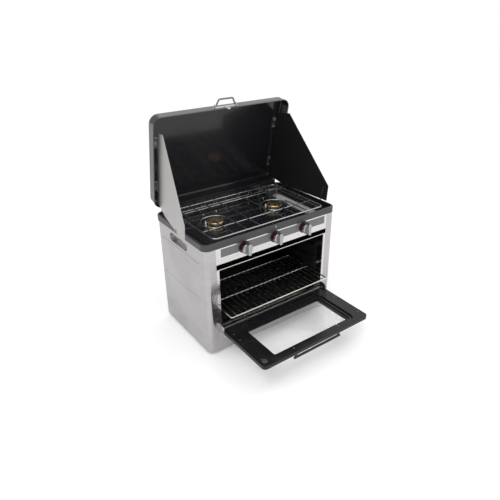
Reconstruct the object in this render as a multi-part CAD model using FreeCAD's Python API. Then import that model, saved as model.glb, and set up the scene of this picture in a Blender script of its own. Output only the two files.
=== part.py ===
"""Two-burner gas camping stove with an oven below, a hinged lid and two folding wind shields.

Millimetres.  +Z is up and the front of the stove faces -Y.  The origin is the centre of the
body's underside; the feet reach below it.  The stove is drawn in use: lid up, left shield swung
outwards, oven door down and the oven rack pulled part of the way out.
"""
import FreeCAD, Part
import math
import os

V = FreeCAD.Vector
X_AXIS, Y_AXIS, Z_AXIS = V(1, 0, 0), V(0, 1, 0), V(0, 0, 1)

# ---------------------------------------------------------------- driving dimensions
# body
BODY_W = 550.0              # across the side panels
BODY_D = 313.0              # front skin to rear skin
BODY_H = 390.0              # underside to the top edge of the panels
SHEET = 1.2                 # steel sheet of panels, trays and lid
CORNER_R = 18.0             # rounded front corners of the side panels
CORNER_RETURN = 40.0        # width of the side panel's front return
GROOVES_LOW = (50.0, 198.0)  # heights of the two lower grooves in the sides
GROOVE_DROP = 54.0          # upper groove below the panel's top
GROOVE_R = 2.2
GROOVE_DEPTH = 1.7
GROOVE_END_GAP = 20.0       # from a groove's end to the corner and to the rear edge
FOOT_R = 9.0
FOOT_H = 10.0
FOOT_INSET = 24.0
FOOT_STEM_R = 3.0
FOOT_STEM_H = 5.0
PAN_RISE = 1.0              # rim of the base pan above its pressed field
PAN_FIELD_INSET = 38.0      # pressed field to the body's outside
PAN_VENTS = (5, 40.0, 70.0, 6.0)  # count, pitch, length and width
PAN_VENT_BACK = 86.5        # middle of the vents to the rear skin
REAR_VENTS = (7, 14.0, 120.0, 5.0)
REAR_VENT_DROP = 140.0      # middle of the vents below the panels' top
SLIP = 0.3                  # gap between parts that move past each other
PIN_FIT = 0.05              # radial running clearance of a pin or shaft
HOLE_FIT = 0.5              # radial clearance of a pipe or screw in a sheet

# hand grips in the sides
GRIP_L = 120.0
GRIP_H = 32.0
GRIP_DEPTH = 20.0
GRIP_Y = 16.0
GRIP_DROP = 29.0            # grip's centre below the panel's top
GRIP_FLANGE = 3.0

# front
PANEL_H = 57.0              # control panel
PANEL_FOLD = 6.0            # return along the control panel's lower edge
MOUTH_SIDE = 10.0           # face of the frame beside the oven mouth
MOUTH_DROP = 21.0           # mouth's top below the control panel
OPENING_BOTTOM = 96.0
REVEAL_D = 30.0             # polished return behind the mouth
FRAME_MARGIN = 8.0          # face of the frame below the mouth
FRAME_TOP_MARGIN = 2.5      # face of the frame above the mouth

# oven
LINER_REAR_SPACE = 47.0     # liner's back to the body's rear skin
LINER_SHEET = 1.0
FLUE_SLOTS = (5, 60.0, 40.0, 8.0)
FLUE_DROP = 30.0            # middle of the flue slots below the mouth's top
RAIL_FIRST = 50.0           # lowest shelf rail above the mouth's lower edge
RAIL_PITCH = 54.0
RAIL_HEADROOM = 46.0        # topmost rail at least this far below the mouth's top
RAIL_W = 12.0
RAIL_FRONT_GAP = 6.0
RACK_OUT = 75.0             # how far the rack is pulled out from its home position
RACK_HOME_GAP = 10.0        # rack at home to the liner's back
RACK_FRAME_R = 2.5
RACK_WIRE_R = 1.5
RACK_WIRES = 19
RACK_CORNER_R = 5.0
BURNER_TUBE_R = 9.0
BURNER_TUBE_END = 75.0      # oven burner's ports end this far from the liner's sides
BURNER_TUBE_BACK = 39.5     # oven burner in front of the liner's back
BURNER_TUBE_RISE = 16.0     # above the liner's floor
BURNER_FEED = 14.0          # burner tube beyond the liner's left wall
BURNER_PORTS = 14
BURNER_PORT_R = 1.2
BURNER_PORT_END = 10.0      # last port from the tube's closed end
STAND_W = 12.0
STAND_POST = 10.0
STAND_FOOT = 32.0
BAFFLE_RISE = 31.0          # above the liner's floor
BAFFLE_D = 150.0
BAFFLE_SIDE_GAP = 2.0
BAFFLE_BACK_GAP = 12.0
BAFFLE_LEG = 60.0

# oven door, drawn open and level
DOOR_SIDE_LAP = 4.5         # closed door past the mouth's sides
DOOR_TOP_LAP = 6.5          # closed door past the mouth's top
DOOR_T = 15.0
DOOR_TOP = 88.0             # inner face, which is the upper face while the door is down
DOOR_CORNER_R = 15.0
DOOR_EDGE_R = 4.0
DOOR_FACE_GAP = 2.0         # closed door's inner face to the body's front
DOOR_PIVOT_SET = 2.0        # pivot to the door's lower end
DOOR_PIVOT_DROP = 3.5       # pivot below the inner face
WINDOW_SIDE = 69.5          # door's side border
WINDOW_ENDS = 43.0          # door's border at both ends, before the offset
WINDOW_OFFSET = 6.0         # window's centre towards the handle end
WINDOW_CORNER_R = 6.0
GLASS_T = 4.0
GLASS_LAP = 7.0
SEAL_W = 3.0
SKIN_FIT = 0.1              # inner skin to the outer shell's walls
STEP_W = 12.0               # ledge pressed round the window
STEP_DROP = 5.0
HINGE_PIN_R = 3.0
TAB_R = 15.0
TAB_T = 4.0
TAB_RISE = 5.0              # ear's middle above the pivot
TAB_FORWARD = 3.0           # ear's middle in front of the pivot
HANDLE_L = 196.0
HANDLE_R = 4.5
HANDLE_INSET = 10.0         # bar to the door's free end
HANDLE_DROP = 18.0          # bar's centre below the outer face
POST_R = 4.0
HANDLE_SCREW_SET = 8.0      # upper screws behind the handle's line
POST_HEAD_R = 4.5
POST_HEAD_H = 2.0
SCREW_R = 3.0
SCREW_HEAD_H = 1.2
CATCH_R = 9.0
CATCH_H = 3.0
CATCH_SIDE = 19.0           # catch to the door's side
CATCH_END = 24.0            # catch to the door's free end
SCREW_SIDE = 17.0           # screws to the door's sides
SCREW_NEAR = 46.0           # screw to the door's hinge end
SCREW_STEP = 36.0           # second screw from the first
SCREW_FAR = 36.0            # third screw to the door's free end
SCREW_RECESS = 0.7          # width of the cross recess

# hob
RIM_SIDE_LAP = 2.5          # rim past the side panels
RIM_FRONT_LAP = 1.5         # rim in front of the body's skin
RIM_REAR_LAP = 20.5         # rim behind the body's skin
RIM_H = 22.0
RIM_BAND = 6.0
RIM_CORNER_R = 24.0
RIM_TOP_R = 3.0
RIM_SHEET = 1.6
TRAY_DEPTH = 27.0
TRAY_GAP = 0.1              # tray wall to the rim's inner wall
TRAY_LIP = 1.0              # tray edge below the rim's top
TRAY_FLOOR_R = 5.0          # bend between the tray's floor and walls
UPSTAND_H = 18.0            # guard along the tray's rear edge, above the rim
UPSTAND_SIDE_GAP = 22.0     # guard's ends to the rim's sides, clear of the closed lid's corners
COLLAR_GAP = 2.0            # collar round each burner cup
COLLAR_H = 3.0
BURNER_SIDE = 101.0         # burner to the side rail of the pan support
BURNER_BACK_SET = 5.5       # burners behind the hob's middle
BURNER_BASE_R = 26.0
BURNER_BASE_H = 9.0
BURNER_CAP_R = 29.0
BURNER_CAP_H = 6.0
BURNER_WALL = 4.0
BURNER_FLOOR = 3.0
BURNER_SLIT_W = 1.6
BURNER_SLIT_H = 3.0
BURNER_SLITS = 12           # each slit is cut right across the cup
CAP_DISH_R = 60.0
CAP_DISH_H = 2.0
DRIP_RING_R = 52.0
DRIP_WIRE_R = 2.0
DRIP_LEG_R = 1.6
DRIP_RING_RISE = 9.0
VENTURI_R = 9.0
NECK_R = 7.0
NECK_BORE_R = 5.0
NECK_CLEAR = 3.2            # burner neck's end above the mixing pipe
ELECTRODE_R = 2.5
ELECTRODE_H = 16.0
ELECTRODE_GAP = 9.0
ELECTRODE_BACK = 6.0
ELECTRODE_TIP_R = 0.8
ELECTRODE_TIP_H = 4.0
PROBE_GAP = 7.0
PROBE_FORWARD = 12.0
PROBE_R = 1.6
PROBE_NUT_R = 4.0

# pan support grid
GRID_SIDE_GAP = 41.5        # side rail to the inside of the rim
GRID_FRONT_GAP = 12.0
GRID_BACK_GAP = 23.0
GRID_RISE = 6.0             # top wires above the rim's top
GRID_DROP = 16.0            # second rail below the first
GRID_RAIL_R = 2.5
GRID_WIRE_R = 2.0
GRID_CORNER_R = 18.0
GRID_POSTS = 9
GRID_GAP_R = 34.0           # open circle over each burner
GRID_WIRE_PLACES = (78.0, 26.0)  # wires to both sides of a burner's centre
GRID_BAR_PLACE = 84.0       # long bars before and behind the burners' centres
GRID_TIP_DROP = 5.0         # ends over a burner turned down

# lid, drawn open
LID_OPEN = 78.7             # degrees from closed
LID_CORNER_R = 34.0
LID_DEPTH = 41.2
LID_LIP = 2.0
LID_LIP_H = 4.0
LID_BACK_R = 9.0
LID_SEAT_GAP = 0.5
EMBOSS_INSET = 18.0
EMBOSS_CORNER_R = 20.0
EMBOSS_H = 2.5
LID_PIN_R = 2.5
LID_KNUCKLE_R = 4.5
LID_PIN_BEHIND = 8.0        # pin behind the rim's rear face
LID_PIN_ABOVE = 3.0         # pin above the closed lid's edge
LID_HINGE_SIDE = 97.5       # hinge's middle to the rim's side
LID_KNUCKLE_L = 15.0
LEAF_T = 2.0
LEAF_GAP = 2.0              # fixed leaf above the panels' top
LEAF_RISE = 6.0             # moving leaf above the lid's lip
WEB_SET = 2.0               # webs of the knuckles start this far off the pin

# wind shields, given from the lid hinge side (along) and out from the shield's hinge (out)
SHIELD_INSET = 27.5         # shield's hinge line to the lid's side
SHIELD_PIN_SETS = {"left": 13.2, "right": 5.7}  # hinge line to the lid's back
SHIELD_SPLAY = {"left": 13.0, "right": 0.0}
SHIELD_PIN_OUT = 4.0        # hinge edge of the sheet, out from the pin
SHIELD_START = 9.0          # shield's lower end to the lid's hinge side
SHIELD_HEEL = (14.0, 104.0)  # bend of the lower edge, along and out
SHIELD_REACH = 345.0        # lower front corner, out from the hinge
SHIELD_TOE = 69.0           # lower front corner, along the hinge
SHIELD_BROW = 127.0         # upper front corner, along the hinge
SHIELD_BROW_SET = 6.0       # upper front corner short of the lower one
SHIELD_TOP = (38.0, 77.0)   # upper outer corner: to the lid's free end, and out
SHIELD_TOP_HINGE = 61.0     # shield's upper end at the hinge to the lid's free end
SHIELD_FIRST_HINGE = 58.0
SHIELD_LAST_HINGE = 113.0   # to the lid's free end
SHIELD_LUG_T = 6.0
SHIELD_FOOT_W = 14.0
SHIELD_FOOT_END = 10.0      # foot plate past the knuckle
SHIELD_PIN_R = 1.5
SHIELD_KNUCKLE_R = 2.7
SHIELD_KNUCKLE_L = 18.0
SHIELD_PEG_R = 2.0
SHIELD_PEG_L = 8.0
SHIELD_PEG_PLACE = (46.0, 246.0)  # along and out
SHIELD_PIN_WIRE_R = 1.5
SHIELD_PIN_WIRE_L = 52.0
SHIELD_PIN_WIRE_PLACE = (60.0, 317.0)  # lower end, along and out

# carrying bail and latch on the lid's front wall
BAIL_FOOT_X = 38.0
BAIL_TOP_X = 28.0
BAIL_RISE = 21.0
BAIL_WIRE_R = 3.0
BAIL_DEPTH = 13.0           # behind the lid's edge
BAIL_PIVOT = 6.0            # pivot above the wall
BAIL_STUB = 6.0
BAIL_LUG_T = 3.0
BAIL_PLATE_T = 1.5
BAIL_PLATE_H = 12.0
BAIL_PLATE_END = 3.0        # plate past the lugs
BAIL_EYE_R = 4.0
BAIL_BEND_R = 7.0
BAIL_PIN_R = 2.0            # turned ends of the wire
LATCH_W = 16.0
LATCH_T = 1.5
LATCH_REACH = 15.0          # past the lid's edge
LATCH_PIVOT = 4.0           # pin beyond the lid's edge
LATCH_ROLL_R = 2.2
LATCH_PIN_R = 1.2
LATCH_EAR_T = 2.0
STUD_R = 2.5
STUD_L = 2.5

# gas parts
KNOB_SET = 2.0              # outer knobs inside the burners' centres
KNOB_DROP = 22.0            # knobs' centres below the panel's top
KNOB_R = 19.0
KNOB_COLLAR_R = 12.0
KNOB_COLLAR_H = 10.0        # narrow part behind the disc
KNOB_DISC_H = 8.0
KNOB_H = 30.0               # whole knob with its grip bar
KNOB_EDGE_R = 3.0
KNOB_PUSH = 3.0
KNOB_GAP = 1.0              # pushed knob to its bezel
KNOB_BEZEL_R = 21.5
KNOB_BEZEL_T = 1.5
GRIP_BAR_W = 12.0
GRIP_BAR_R = 4.0
GRIP_BAR_LAP = 1.5          # bar's ends past the disc's edge
SPINDLE_R = 3.0
SPINDLE_L_IN_KNOB = 18.0
SPINDLE_L_IN_VALVE = 4.0
SPINDLE_HOLE_R = 5.0
VALVE_Y_GAP = 6.0
VALVE_L = 26.0
VALVE_W = 20.0
VALVE_H = 22.0
JET_R = 3.0
JET_L = 3.0
MANIFOLD_R = 6.0
MANIFOLD_END = 30.0         # closed end past the left tap
MANIFOLD_TURN = 30.0        # rise to the inlet, in front of the rear skin
PIPE_R = 3.5
PIPE_BEND_R = 3.0
INLET_SIDE = 75.0           # inlet to the body's right side
INLET_DROP = 24.0           # inlet below the panels' top
INLET_SHANK_R = 4.5         # thread through the rear panel
INLET_TAIL_R = 4.0
INLET_TAIL_L = 18.0
INLET_HEX_R = 9.0
INLET_HEX_L = 10.0
INLET_COLLAR_L = 4.0
INLET_NOSE_L = 3.0
INLET_GROOVE = 0.8
INLET_GROOVES = 3
INLET_BORE_R = 2.5

# ---------------------------------------------------------------- worked-out places
HALF_W = BODY_W / 2
FRONT = -BODY_D / 2
REAR = BODY_D / 2
SEAM_X = HALF_W - CORNER_RETURN
RIM_W = BODY_W + 2 * RIM_SIDE_LAP
RIM_L = BODY_D + RIM_FRONT_LAP + RIM_REAR_LAP
HOB_FRONT = FRONT - RIM_FRONT_LAP
HOB_BACK = REAR + RIM_REAR_LAP
HOB_MID = (HOB_FRONT + HOB_BACK) / 2
RIM_TOP = BODY_H + RIM_H
TRAY_FLOOR = RIM_TOP - TRAY_DEPTH
BURNER_SEAT = TRAY_FLOOR + SHEET
GROOVE_HEIGHTS = GROOVES_LOW + (BODY_H - GROOVE_DROP,)
GRIP_Z = BODY_H - GRIP_DROP
PANEL_BOTTOM = BODY_H - PANEL_H
OPENING_W = 2 * (SEAM_X - MOUTH_SIDE)
OPENING_TOP = PANEL_BOTTOM - MOUTH_DROP
KNOB_Z = BODY_H - KNOB_DROP
KNOB_BACK = FRONT - KNOB_BEZEL_T - KNOB_PUSH - KNOB_GAP
INLET_X = HALF_W - INLET_SIDE
INLET_Z = BODY_H - INLET_DROP
LID_SEAT = RIM_TOP + LID_SEAT_GAP
LID_PIN = V(0, HOB_BACK + LID_PIN_BEHIND, LID_SEAT + LID_PIN_ABOVE)
LID_HINGE_X = RIM_W / 2 - LID_HINGE_SIDE
SHIELD_X = RIM_W / 2 - SHIELD_INSET
SHIELD_HINGES = (SHIELD_FIRST_HINGE, RIM_L - SHIELD_LAST_HINGE)
SHIELD_OUTLINE = ((SHIELD_START, SHIELD_PIN_OUT), SHIELD_HEEL, (SHIELD_TOE, SHIELD_REACH),
                  (SHIELD_BROW, SHIELD_REACH - SHIELD_BROW_SET), (RIM_L - SHIELD_TOP[0], SHIELD_TOP[1]),
                  (RIM_L - SHIELD_TOP_HINGE, SHIELD_PIN_OUT))
DOOR_PIVOT = V(0, FRONT - DOOR_FACE_GAP - DOOR_PIVOT_DROP, DOOR_TOP - DOOR_PIVOT_DROP)
DOOR_END = DOOR_PIVOT.y - DOOR_PIVOT_SET
DOOR_W = OPENING_W + 2 * DOOR_SIDE_LAP
DOOR_L = OPENING_TOP + DOOR_TOP_LAP - DOOR_PIVOT.z + DOOR_PIVOT_SET
DOOR_BOTTOM = DOOR_TOP - DOOR_T
WINDOW_W = DOOR_W - 2 * WINDOW_SIDE
WINDOW_L = DOOR_L - 2 * WINDOW_ENDS
GLASS_Z = DOOR_BOTTOM + SHEET
LEDGE_TOP = DOOR_TOP - STEP_DROP
LINER_FRONT = FRONT + REVEAL_D
LINER_BACK = REAR - LINER_REAR_SPACE
RAIL_COUNT = 1 + int((OPENING_TOP - RAIL_HEADROOM - OPENING_BOTTOM - RAIL_FIRST) / RAIL_PITCH)
RAIL_LEVELS = [OPENING_BOTTOM + RAIL_FIRST + RAIL_PITCH * step for step in range(RAIL_COUNT)]
RACK_Z = RAIL_LEVELS[0] + SHEET + SLIP + RACK_FRAME_R
RACK_HALF_W = OPENING_W / 2 - RAIL_W
RACK_DEPTH = LINER_BACK - LINER_FRONT - LINER_SHEET - RACK_HOME_GAP
RACK_BACK = LINER_BACK - LINER_SHEET - RACK_HOME_GAP - RACK_OUT
BURNER_TUBE_Y = LINER_BACK - BURNER_TUBE_BACK
BURNER_TUBE_Z = OPENING_BOTTOM + BURNER_TUBE_RISE
BURNER_TUBE_L = OPENING_W - 2 * BURNER_TUBE_END
BAFFLE_Z = OPENING_BOTTOM + BAFFLE_RISE
GRID_HALF_W = RIM_W / 2 - RIM_BAND - GRID_SIDE_GAP
GRID_Z = RIM_TOP + GRID_RISE - GRID_WIRE_R
GRID_FRONT = HOB_FRONT + RIM_BAND + GRID_FRONT_GAP
GRID_BACK = HOB_BACK - RIM_BAND - GRID_BACK_GAP
BURNER_X = GRID_HALF_W - BURNER_SIDE
BURNER_Y = HOB_MID + BURNER_BACK_SET
KNOB_X = (KNOB_SET - BURNER_X, 0.0, BURNER_X - KNOB_SET)
NECK_L = BURNER_SEAT - KNOB_Z - NECK_R - NECK_CLEAR
MANIFOLD_Y = FRONT + SHEET + VALVE_Y_GAP + VALVE_L / 2
MANIFOLD_Z = KNOB_Z - VALVE_H / 2 - MANIFOLD_R + 2


# ---------------------------------------------------------------- helpers
def block(x0, x1, y0, y1, z0, z1):
    """Box between two corners."""
    return Part.makeBox(x1 - x0, y1 - y0, z1 - z0, V(x0, y0, z0))


def upright_edges(shape):
    """Edges of a box that run along Z."""
    return [e for e in shape.Edges if abs(e.tangentAt(e.FirstParameter).z) > 0.99]


def rounded_block(x0, x1, y0, y1, z0, z1, radius):
    """Box whose four upright edges are rounded."""
    shape = block(x0, x1, y0, y1, z0, z1)
    return shape.makeFillet(radius, upright_edges(shape))


def edges_at_height(shape, z):
    """Edges that lie wholly at one height."""
    return [e for e in shape.Edges if abs(e.BoundBox.ZMin - z) < 1e-4 and abs(e.BoundBox.ZMax - z) < 1e-4]


def cylinder(start, direction, radius, length):
    return Part.makeCylinder(radius, length, start, direction)


def rod(start, end, radius):
    """Round bar between two points."""
    return Part.makeCylinder(radius, (end - start).Length, start, end - start)


def bent_rod(points, radius, bend):
    """Round bar along straight runs joined by arcs of one bend radius."""
    edges = []
    last = points[0]
    for before, here, after in zip(points, points[1:], points[2:]):
        inward = (before - here).normalize()
        onward = (after - here).normalize()
        half = inward.getAngle(onward) / 2
        setback = bend / math.tan(half)
        arc_start = here + inward * setback
        arc_end = here + onward * setback
        middle_way = (inward + onward).normalize()
        arc_middle = here + middle_way * (bend / math.sin(half) - bend)
        edges.append(Part.LineSegment(last, arc_start).toShape())
        edges.append(Part.Arc(arc_start, arc_middle, arc_end).toShape())
        last = arc_end
    edges.append(Part.LineSegment(last, points[-1]).toShape())
    path = Part.Wire(edges)
    circle = Part.makeCircle(radius, points[0], points[1] - points[0])
    return path.makePipeShell([Part.Wire([circle])], True, False)


def prism(points, direction):
    """Solid swept from a flat polygon."""
    return Part.Face(Part.makePolygon(list(points) + [points[0]])).extrude(direction)


def fuse(shapes):
    return shapes[0].multiFuse(shapes[1:]).removeSplitter()


def stadium(length, height, depth, centre, x0):
    """Block along X with round ends in the Y-Z plane."""
    half = length / 2 - height / 2
    rise = height / 2
    core = block(x0, x0 + depth, centre.y - half, centre.y + half, centre.z - rise, centre.z + rise)
    ends = [cylinder(V(x0, centre.y + side * half, centre.z), X_AXIS, rise, depth) for side in (-1, 1)]
    return fuse([core] + ends)


def mirrored(shape):
    """The same shape on the other side of the X = 0 plane."""
    return shape.mirror(V(0, 0, 0), X_AXIS)


def export(name, shape):
    shape.exportStep("parts/" + name + ".step")


# ---------------------------------------------------------------- body
def side_panel_left():
    outer = block(-HALF_W, -SEAM_X, FRONT, REAR, 0, BODY_H)
    corner = [e for e in upright_edges(outer) if e.BoundBox.XMin < -SEAM_X - 1 and e.BoundBox.YMin < 0]
    outer = outer.makeFillet(CORNER_R, corner)
    inner = block(-HALF_W + SHEET, -SEAM_X + 1, FRONT + SHEET, REAR + 1, -1, BODY_H + 1)
    corner = [e for e in upright_edges(inner) if e.BoundBox.XMin < -SEAM_X - 1 and e.BoundBox.YMin < 0]
    inner = inner.makeFillet(CORNER_R - SHEET, corner)
    panel = outer.cut(inner)
    groove_start = FRONT + CORNER_R + GROOVE_END_GAP
    groove_end = REAR - GROOVE_END_GAP
    inside = block(-HALF_W + SHEET / 2, -SEAM_X, FRONT, REAR, 0, BODY_H)
    for height in GROOVE_HEIGHTS:
        start = V(-HALF_W - GROOVE_R + GROOVE_DEPTH, groove_start, height)
        rib = cylinder(start, Y_AXIS, GROOVE_R + SHEET, groove_end - groove_start)
        panel = panel.fuse(rib.common(inside))
        panel = panel.cut(cylinder(start, Y_AXIS, GROOVE_R, groove_end - groove_start))
    hole = stadium(GRIP_L, GRIP_H, 3 * SHEET, V(0, GRIP_Y, GRIP_Z), -HALF_W - SHEET)
    return panel.cut(hole)


def grip_cup_left():
    """Recessed cup behind the hand hole, with a flange against the panel's inside."""
    centre = V(0, GRIP_Y, GRIP_Z)
    inside = -HALF_W + SHEET
    flange = stadium(GRIP_L + 2 * GRIP_FLANGE, GRIP_H + 2 * GRIP_FLANGE, SHEET, centre, inside)
    cup = stadium(GRIP_L + 2 * SHEET, GRIP_H + 2 * SHEET, GRIP_DEPTH, centre, inside)
    hollow = stadium(GRIP_L, GRIP_H, GRIP_DEPTH - SHEET, centre, inside)
    return flange.fuse(cup).cut(hollow)


def slots(sizes, centre, along, through):
    """Row of round-ended slots as cutting tools; each slot runs along one axis."""
    count, pitch, length, width = sizes
    tools = []
    across = through.cross(along)
    for index in range(count):
        middle = centre + across * ((index - (count - 1) / 2) * pitch)
        ends = [middle + along * (side * (length - width) / 2) for side in (-1, 1)]
        shape = [cylinder(end - through * SHEET, through, width / 2, 3 * SHEET) for end in ends]
        corner = ends[0] - through * SHEET - across * (width / 2)
        face = Part.makePolygon([corner, corner + across * width,
                                 corner + across * width + along * (length - width),
                                 corner + along * (length - width), corner])
        shape.append(Part.Face(face).extrude(through * 3 * SHEET))
        tools.append(fuse(shape))
    return tools


def rear_panel():
    panel = block(-HALF_W + SHEET, HALF_W - SHEET, REAR - SHEET, REAR, PAN_RISE + SHEET, TRAY_FLOOR)
    inlet = cylinder(V(INLET_X, REAR - 2 * SHEET, INLET_Z), Y_AXIS, INLET_SHANK_R + HOLE_FIT, 4 * SHEET)
    vents = slots(REAR_VENTS, V(0, REAR - SHEET, BODY_H - REAR_VENT_DROP), X_AXIS, Y_AXIS)
    return panel.cut([inlet] + vents)


def pan_field(inset, z0, z1):
    """Slab of the base pan's pressed field, pulled in by an inset."""
    half = HALF_W - PAN_FIELD_INSET - inset
    reach = REAR - PAN_FIELD_INSET - inset
    return rounded_block(-half, half, -reach, reach, z0, z1, CORNER_R - inset)


def base_pan():
    """Floor sheet with a field pressed down between the feet."""
    pan = block(-HALF_W + SHEET, HALF_W - SHEET, FRONT + SHEET, REAR, PAN_RISE, PAN_RISE + SHEET)
    pan = pan.makeFillet(CORNER_R - SHEET, [e for e in upright_edges(pan) if e.BoundBox.YMax < 0])
    pan = pan.cut(pan_field(SHEET, 0, PAN_RISE + 2 * SHEET)).fuse(pan_field(0, 0, SHEET))
    vents = slots(PAN_VENTS, V(0, REAR - PAN_VENT_BACK, 0), Y_AXIS, Z_AXIS)
    stems = [cylinder(V(x, y, 0), Z_AXIS, FOOT_STEM_R + HOLE_FIT, 3 * SHEET) for x, y in foot_places()]
    return pan.cut(vents + stems)


def foot_places():
    x = HALF_W - FOOT_INSET
    y = REAR - FOOT_INSET
    return [(sx * x, sy * y) for sx in (-1, 1) for sy in (-1, 1)]


def feet():
    """Four rubber feet, each pressed through the base pan by its stem."""
    shapes = []
    for x, y in foot_places():
        pad = cylinder(V(x, y, -FOOT_H), Z_AXIS, FOOT_R, FOOT_H + PAN_RISE)
        pad = pad.makeChamfer(1.5, edges_at_height(pad, -FOOT_H))
        stem = cylinder(V(x, y, PAN_RISE), Z_AXIS, FOOT_STEM_R, FOOT_STEM_H)
        shapes.append(pad.fuse(stem))
    return Part.makeCompound(shapes)


def lower_front_panel():
    return block(-SEAM_X, SEAM_X, FRONT, FRONT + SHEET, 0, OPENING_BOTTOM - FRAME_MARGIN)


def front_frame():
    """Polished face round the oven mouth, with a deep return to the oven liner."""
    half = OPENING_W / 2
    face = block(-SEAM_X, SEAM_X, FRONT, FRONT + SHEET, OPENING_BOTTOM - FRAME_MARGIN,
                 OPENING_TOP + FRAME_TOP_MARGIN)
    tube = block(-half - SHEET, half + SHEET, FRONT + SHEET, LINER_FRONT, OPENING_BOTTOM - SHEET,
                 OPENING_TOP + SHEET)
    mouth = block(-half, half, FRONT - 1, LINER_FRONT + 1, OPENING_BOTTOM, OPENING_TOP)
    return face.fuse(tube).cut(mouth)


def control_panel():
    panel = block(-SEAM_X, SEAM_X, FRONT, FRONT + SHEET, PANEL_BOTTOM, BODY_H)
    foot = block(-SEAM_X, SEAM_X, FRONT + SHEET, FRONT + PANEL_FOLD, PANEL_BOTTOM, PANEL_BOTTOM + SHEET)
    holes = [cylinder(V(x, FRONT - 1, KNOB_Z), Y_AXIS, SPINDLE_HOLE_R, 3 * SHEET) for x in KNOB_X]
    return panel.fuse(foot).cut(holes)


# ---------------------------------------------------------------- oven
def oven_liner():
    half = OPENING_W / 2
    outer = block(-half - LINER_SHEET, half + LINER_SHEET, LINER_FRONT, LINER_BACK,
                  OPENING_BOTTOM - LINER_SHEET, OPENING_TOP + LINER_SHEET)
    inner = block(-half, half, LINER_FRONT - 1, LINER_BACK - LINER_SHEET, OPENING_BOTTOM, OPENING_TOP)
    flue = slots(FLUE_SLOTS, V(0, LINER_BACK - 2 * LINER_SHEET, OPENING_TOP - FLUE_DROP), Z_AXIS, Y_AXIS)
    feed = cylinder(V(-half - 2 * LINER_SHEET, BURNER_TUBE_Y, BURNER_TUBE_Z), X_AXIS, BURNER_TUBE_R + HOLE_FIT,
                    4 * LINER_SHEET)
    return outer.cut([inner, feed] + flue)


def shelf_rails_left():
    """Three angle rails on one side wall of the oven."""
    wall = -OPENING_W / 2
    front = LINER_FRONT + RAIL_FRONT_GAP
    back = LINER_BACK - LINER_SHEET
    shapes = []
    for level in RAIL_LEVELS:
        ledge = block(wall, wall + RAIL_W, front, back, level, level + SHEET)
        web = block(wall, wall + SHEET, front, back, level, level + RAIL_W)
        shapes.append(ledge.fuse(web))
    return shapes


def shelf_rails():
    left = shelf_rails_left()
    return Part.makeCompound(left + [mirrored(rail_shape) for rail_shape in left])


def oven_burner():
    """Tube burner with a row of flame ports, fed through the liner's left wall."""
    start = V(-OPENING_W / 2 - BURNER_FEED, BURNER_TUBE_Y, BURNER_TUBE_Z)
    length = BURNER_TUBE_L / 2 - start.x
    tube = cylinder(start, X_AXIS, BURNER_TUBE_R, length)
    bore = cylinder(start - X_AXIS, X_AXIS, BURNER_TUBE_R - SHEET, length - SHEET)
    first = -BURNER_TUBE_L / 2 + BURNER_PORT_END
    ports = []
    for index in range(BURNER_PORTS):
        x = first - 2 * first * index / (BURNER_PORTS - 1)
        middle = V(x, BURNER_TUBE_Y, BURNER_TUBE_Z)
        ports.append(cylinder(middle, V(0, -0.5, 1), BURNER_PORT_R, 2 * BURNER_TUBE_R))
    return tube.cut([bore] + ports)


def burner_stands():
    """Two straps that carry the oven burner on the liner's floor."""
    shapes = []
    for x in (-BURNER_TUBE_L / 3, BURNER_TUBE_L / 3):
        x0 = x - STAND_W / 2
        strap = block(x0, x0 + STAND_W, BURNER_TUBE_Y - STAND_FOOT / 2, BURNER_TUBE_Y + STAND_FOOT / 2,
                      OPENING_BOTTOM, OPENING_BOTTOM + SHEET)
        post = block(x0, x0 + STAND_W, BURNER_TUBE_Y - STAND_POST / 2, BURNER_TUBE_Y + STAND_POST / 2,
                     OPENING_BOTTOM, BURNER_TUBE_Z)
        tube = cylinder(V(x0 - 1, BURNER_TUBE_Y, BURNER_TUBE_Z), X_AXIS, BURNER_TUBE_R, STAND_W + 2)
        shapes.append(strap.fuse(post).cut(tube))
    return Part.makeCompound(shapes)


def oven_baffle():
    """Heat spreader above the oven burner, on two folded side legs."""
    half = OPENING_W / 2 - BAFFLE_SIDE_GAP
    back = LINER_BACK - LINER_SHEET - BAFFLE_BACK_GAP
    plate = block(-half, half, back - BAFFLE_D, back, BAFFLE_Z, BAFFLE_Z + SHEET)
    legs = [block(x, x + SHEET, back - BAFFLE_D, back - BAFFLE_D + BAFFLE_LEG, OPENING_BOTTOM, BAFFLE_Z)
            for x in (-half, half - SHEET)]
    return plate.fuse(legs)


def oven_rack():
    """Wire shelf: bent frame with welded cross wires."""
    front = RACK_BACK - RACK_DEPTH
    corners = [V(0, RACK_BACK, RACK_Z), V(-RACK_HALF_W, RACK_BACK, RACK_Z), V(-RACK_HALF_W, front, RACK_Z),
               V(RACK_HALF_W, front, RACK_Z), V(RACK_HALF_W, RACK_BACK, RACK_Z), V(0, RACK_BACK, RACK_Z)]
    shapes = [bent_rod(corners, RACK_FRAME_R, RACK_CORNER_R)]
    wire_z = RACK_Z + RACK_FRAME_R
    pitch = 2 * RACK_HALF_W / (RACK_WIRES + 1)
    for index in range(RACK_WIRES):
        x = -RACK_HALF_W + pitch * (index + 1)
        shapes.append(rod(V(x, front - 1, wire_z), V(x, RACK_BACK + 1, wire_z), RACK_WIRE_R))
    middle = (front + RACK_BACK) / 2
    shapes.append(rod(V(-RACK_HALF_W, middle, RACK_Z), V(RACK_HALF_W, middle, RACK_Z), RACK_FRAME_R - 0.5))
    return fuse(shapes)


# ---------------------------------------------------------------- door, drawn open
def door_block(inset, z0, z1, radius):
    """Rounded slab of the door's outline, pulled in by an inset."""
    return rounded_block(-DOOR_W / 2 + inset, DOOR_W / 2 - inset, DOOR_END - DOOR_L + inset, DOOR_END - inset,
                         z0, z1, radius)


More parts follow.
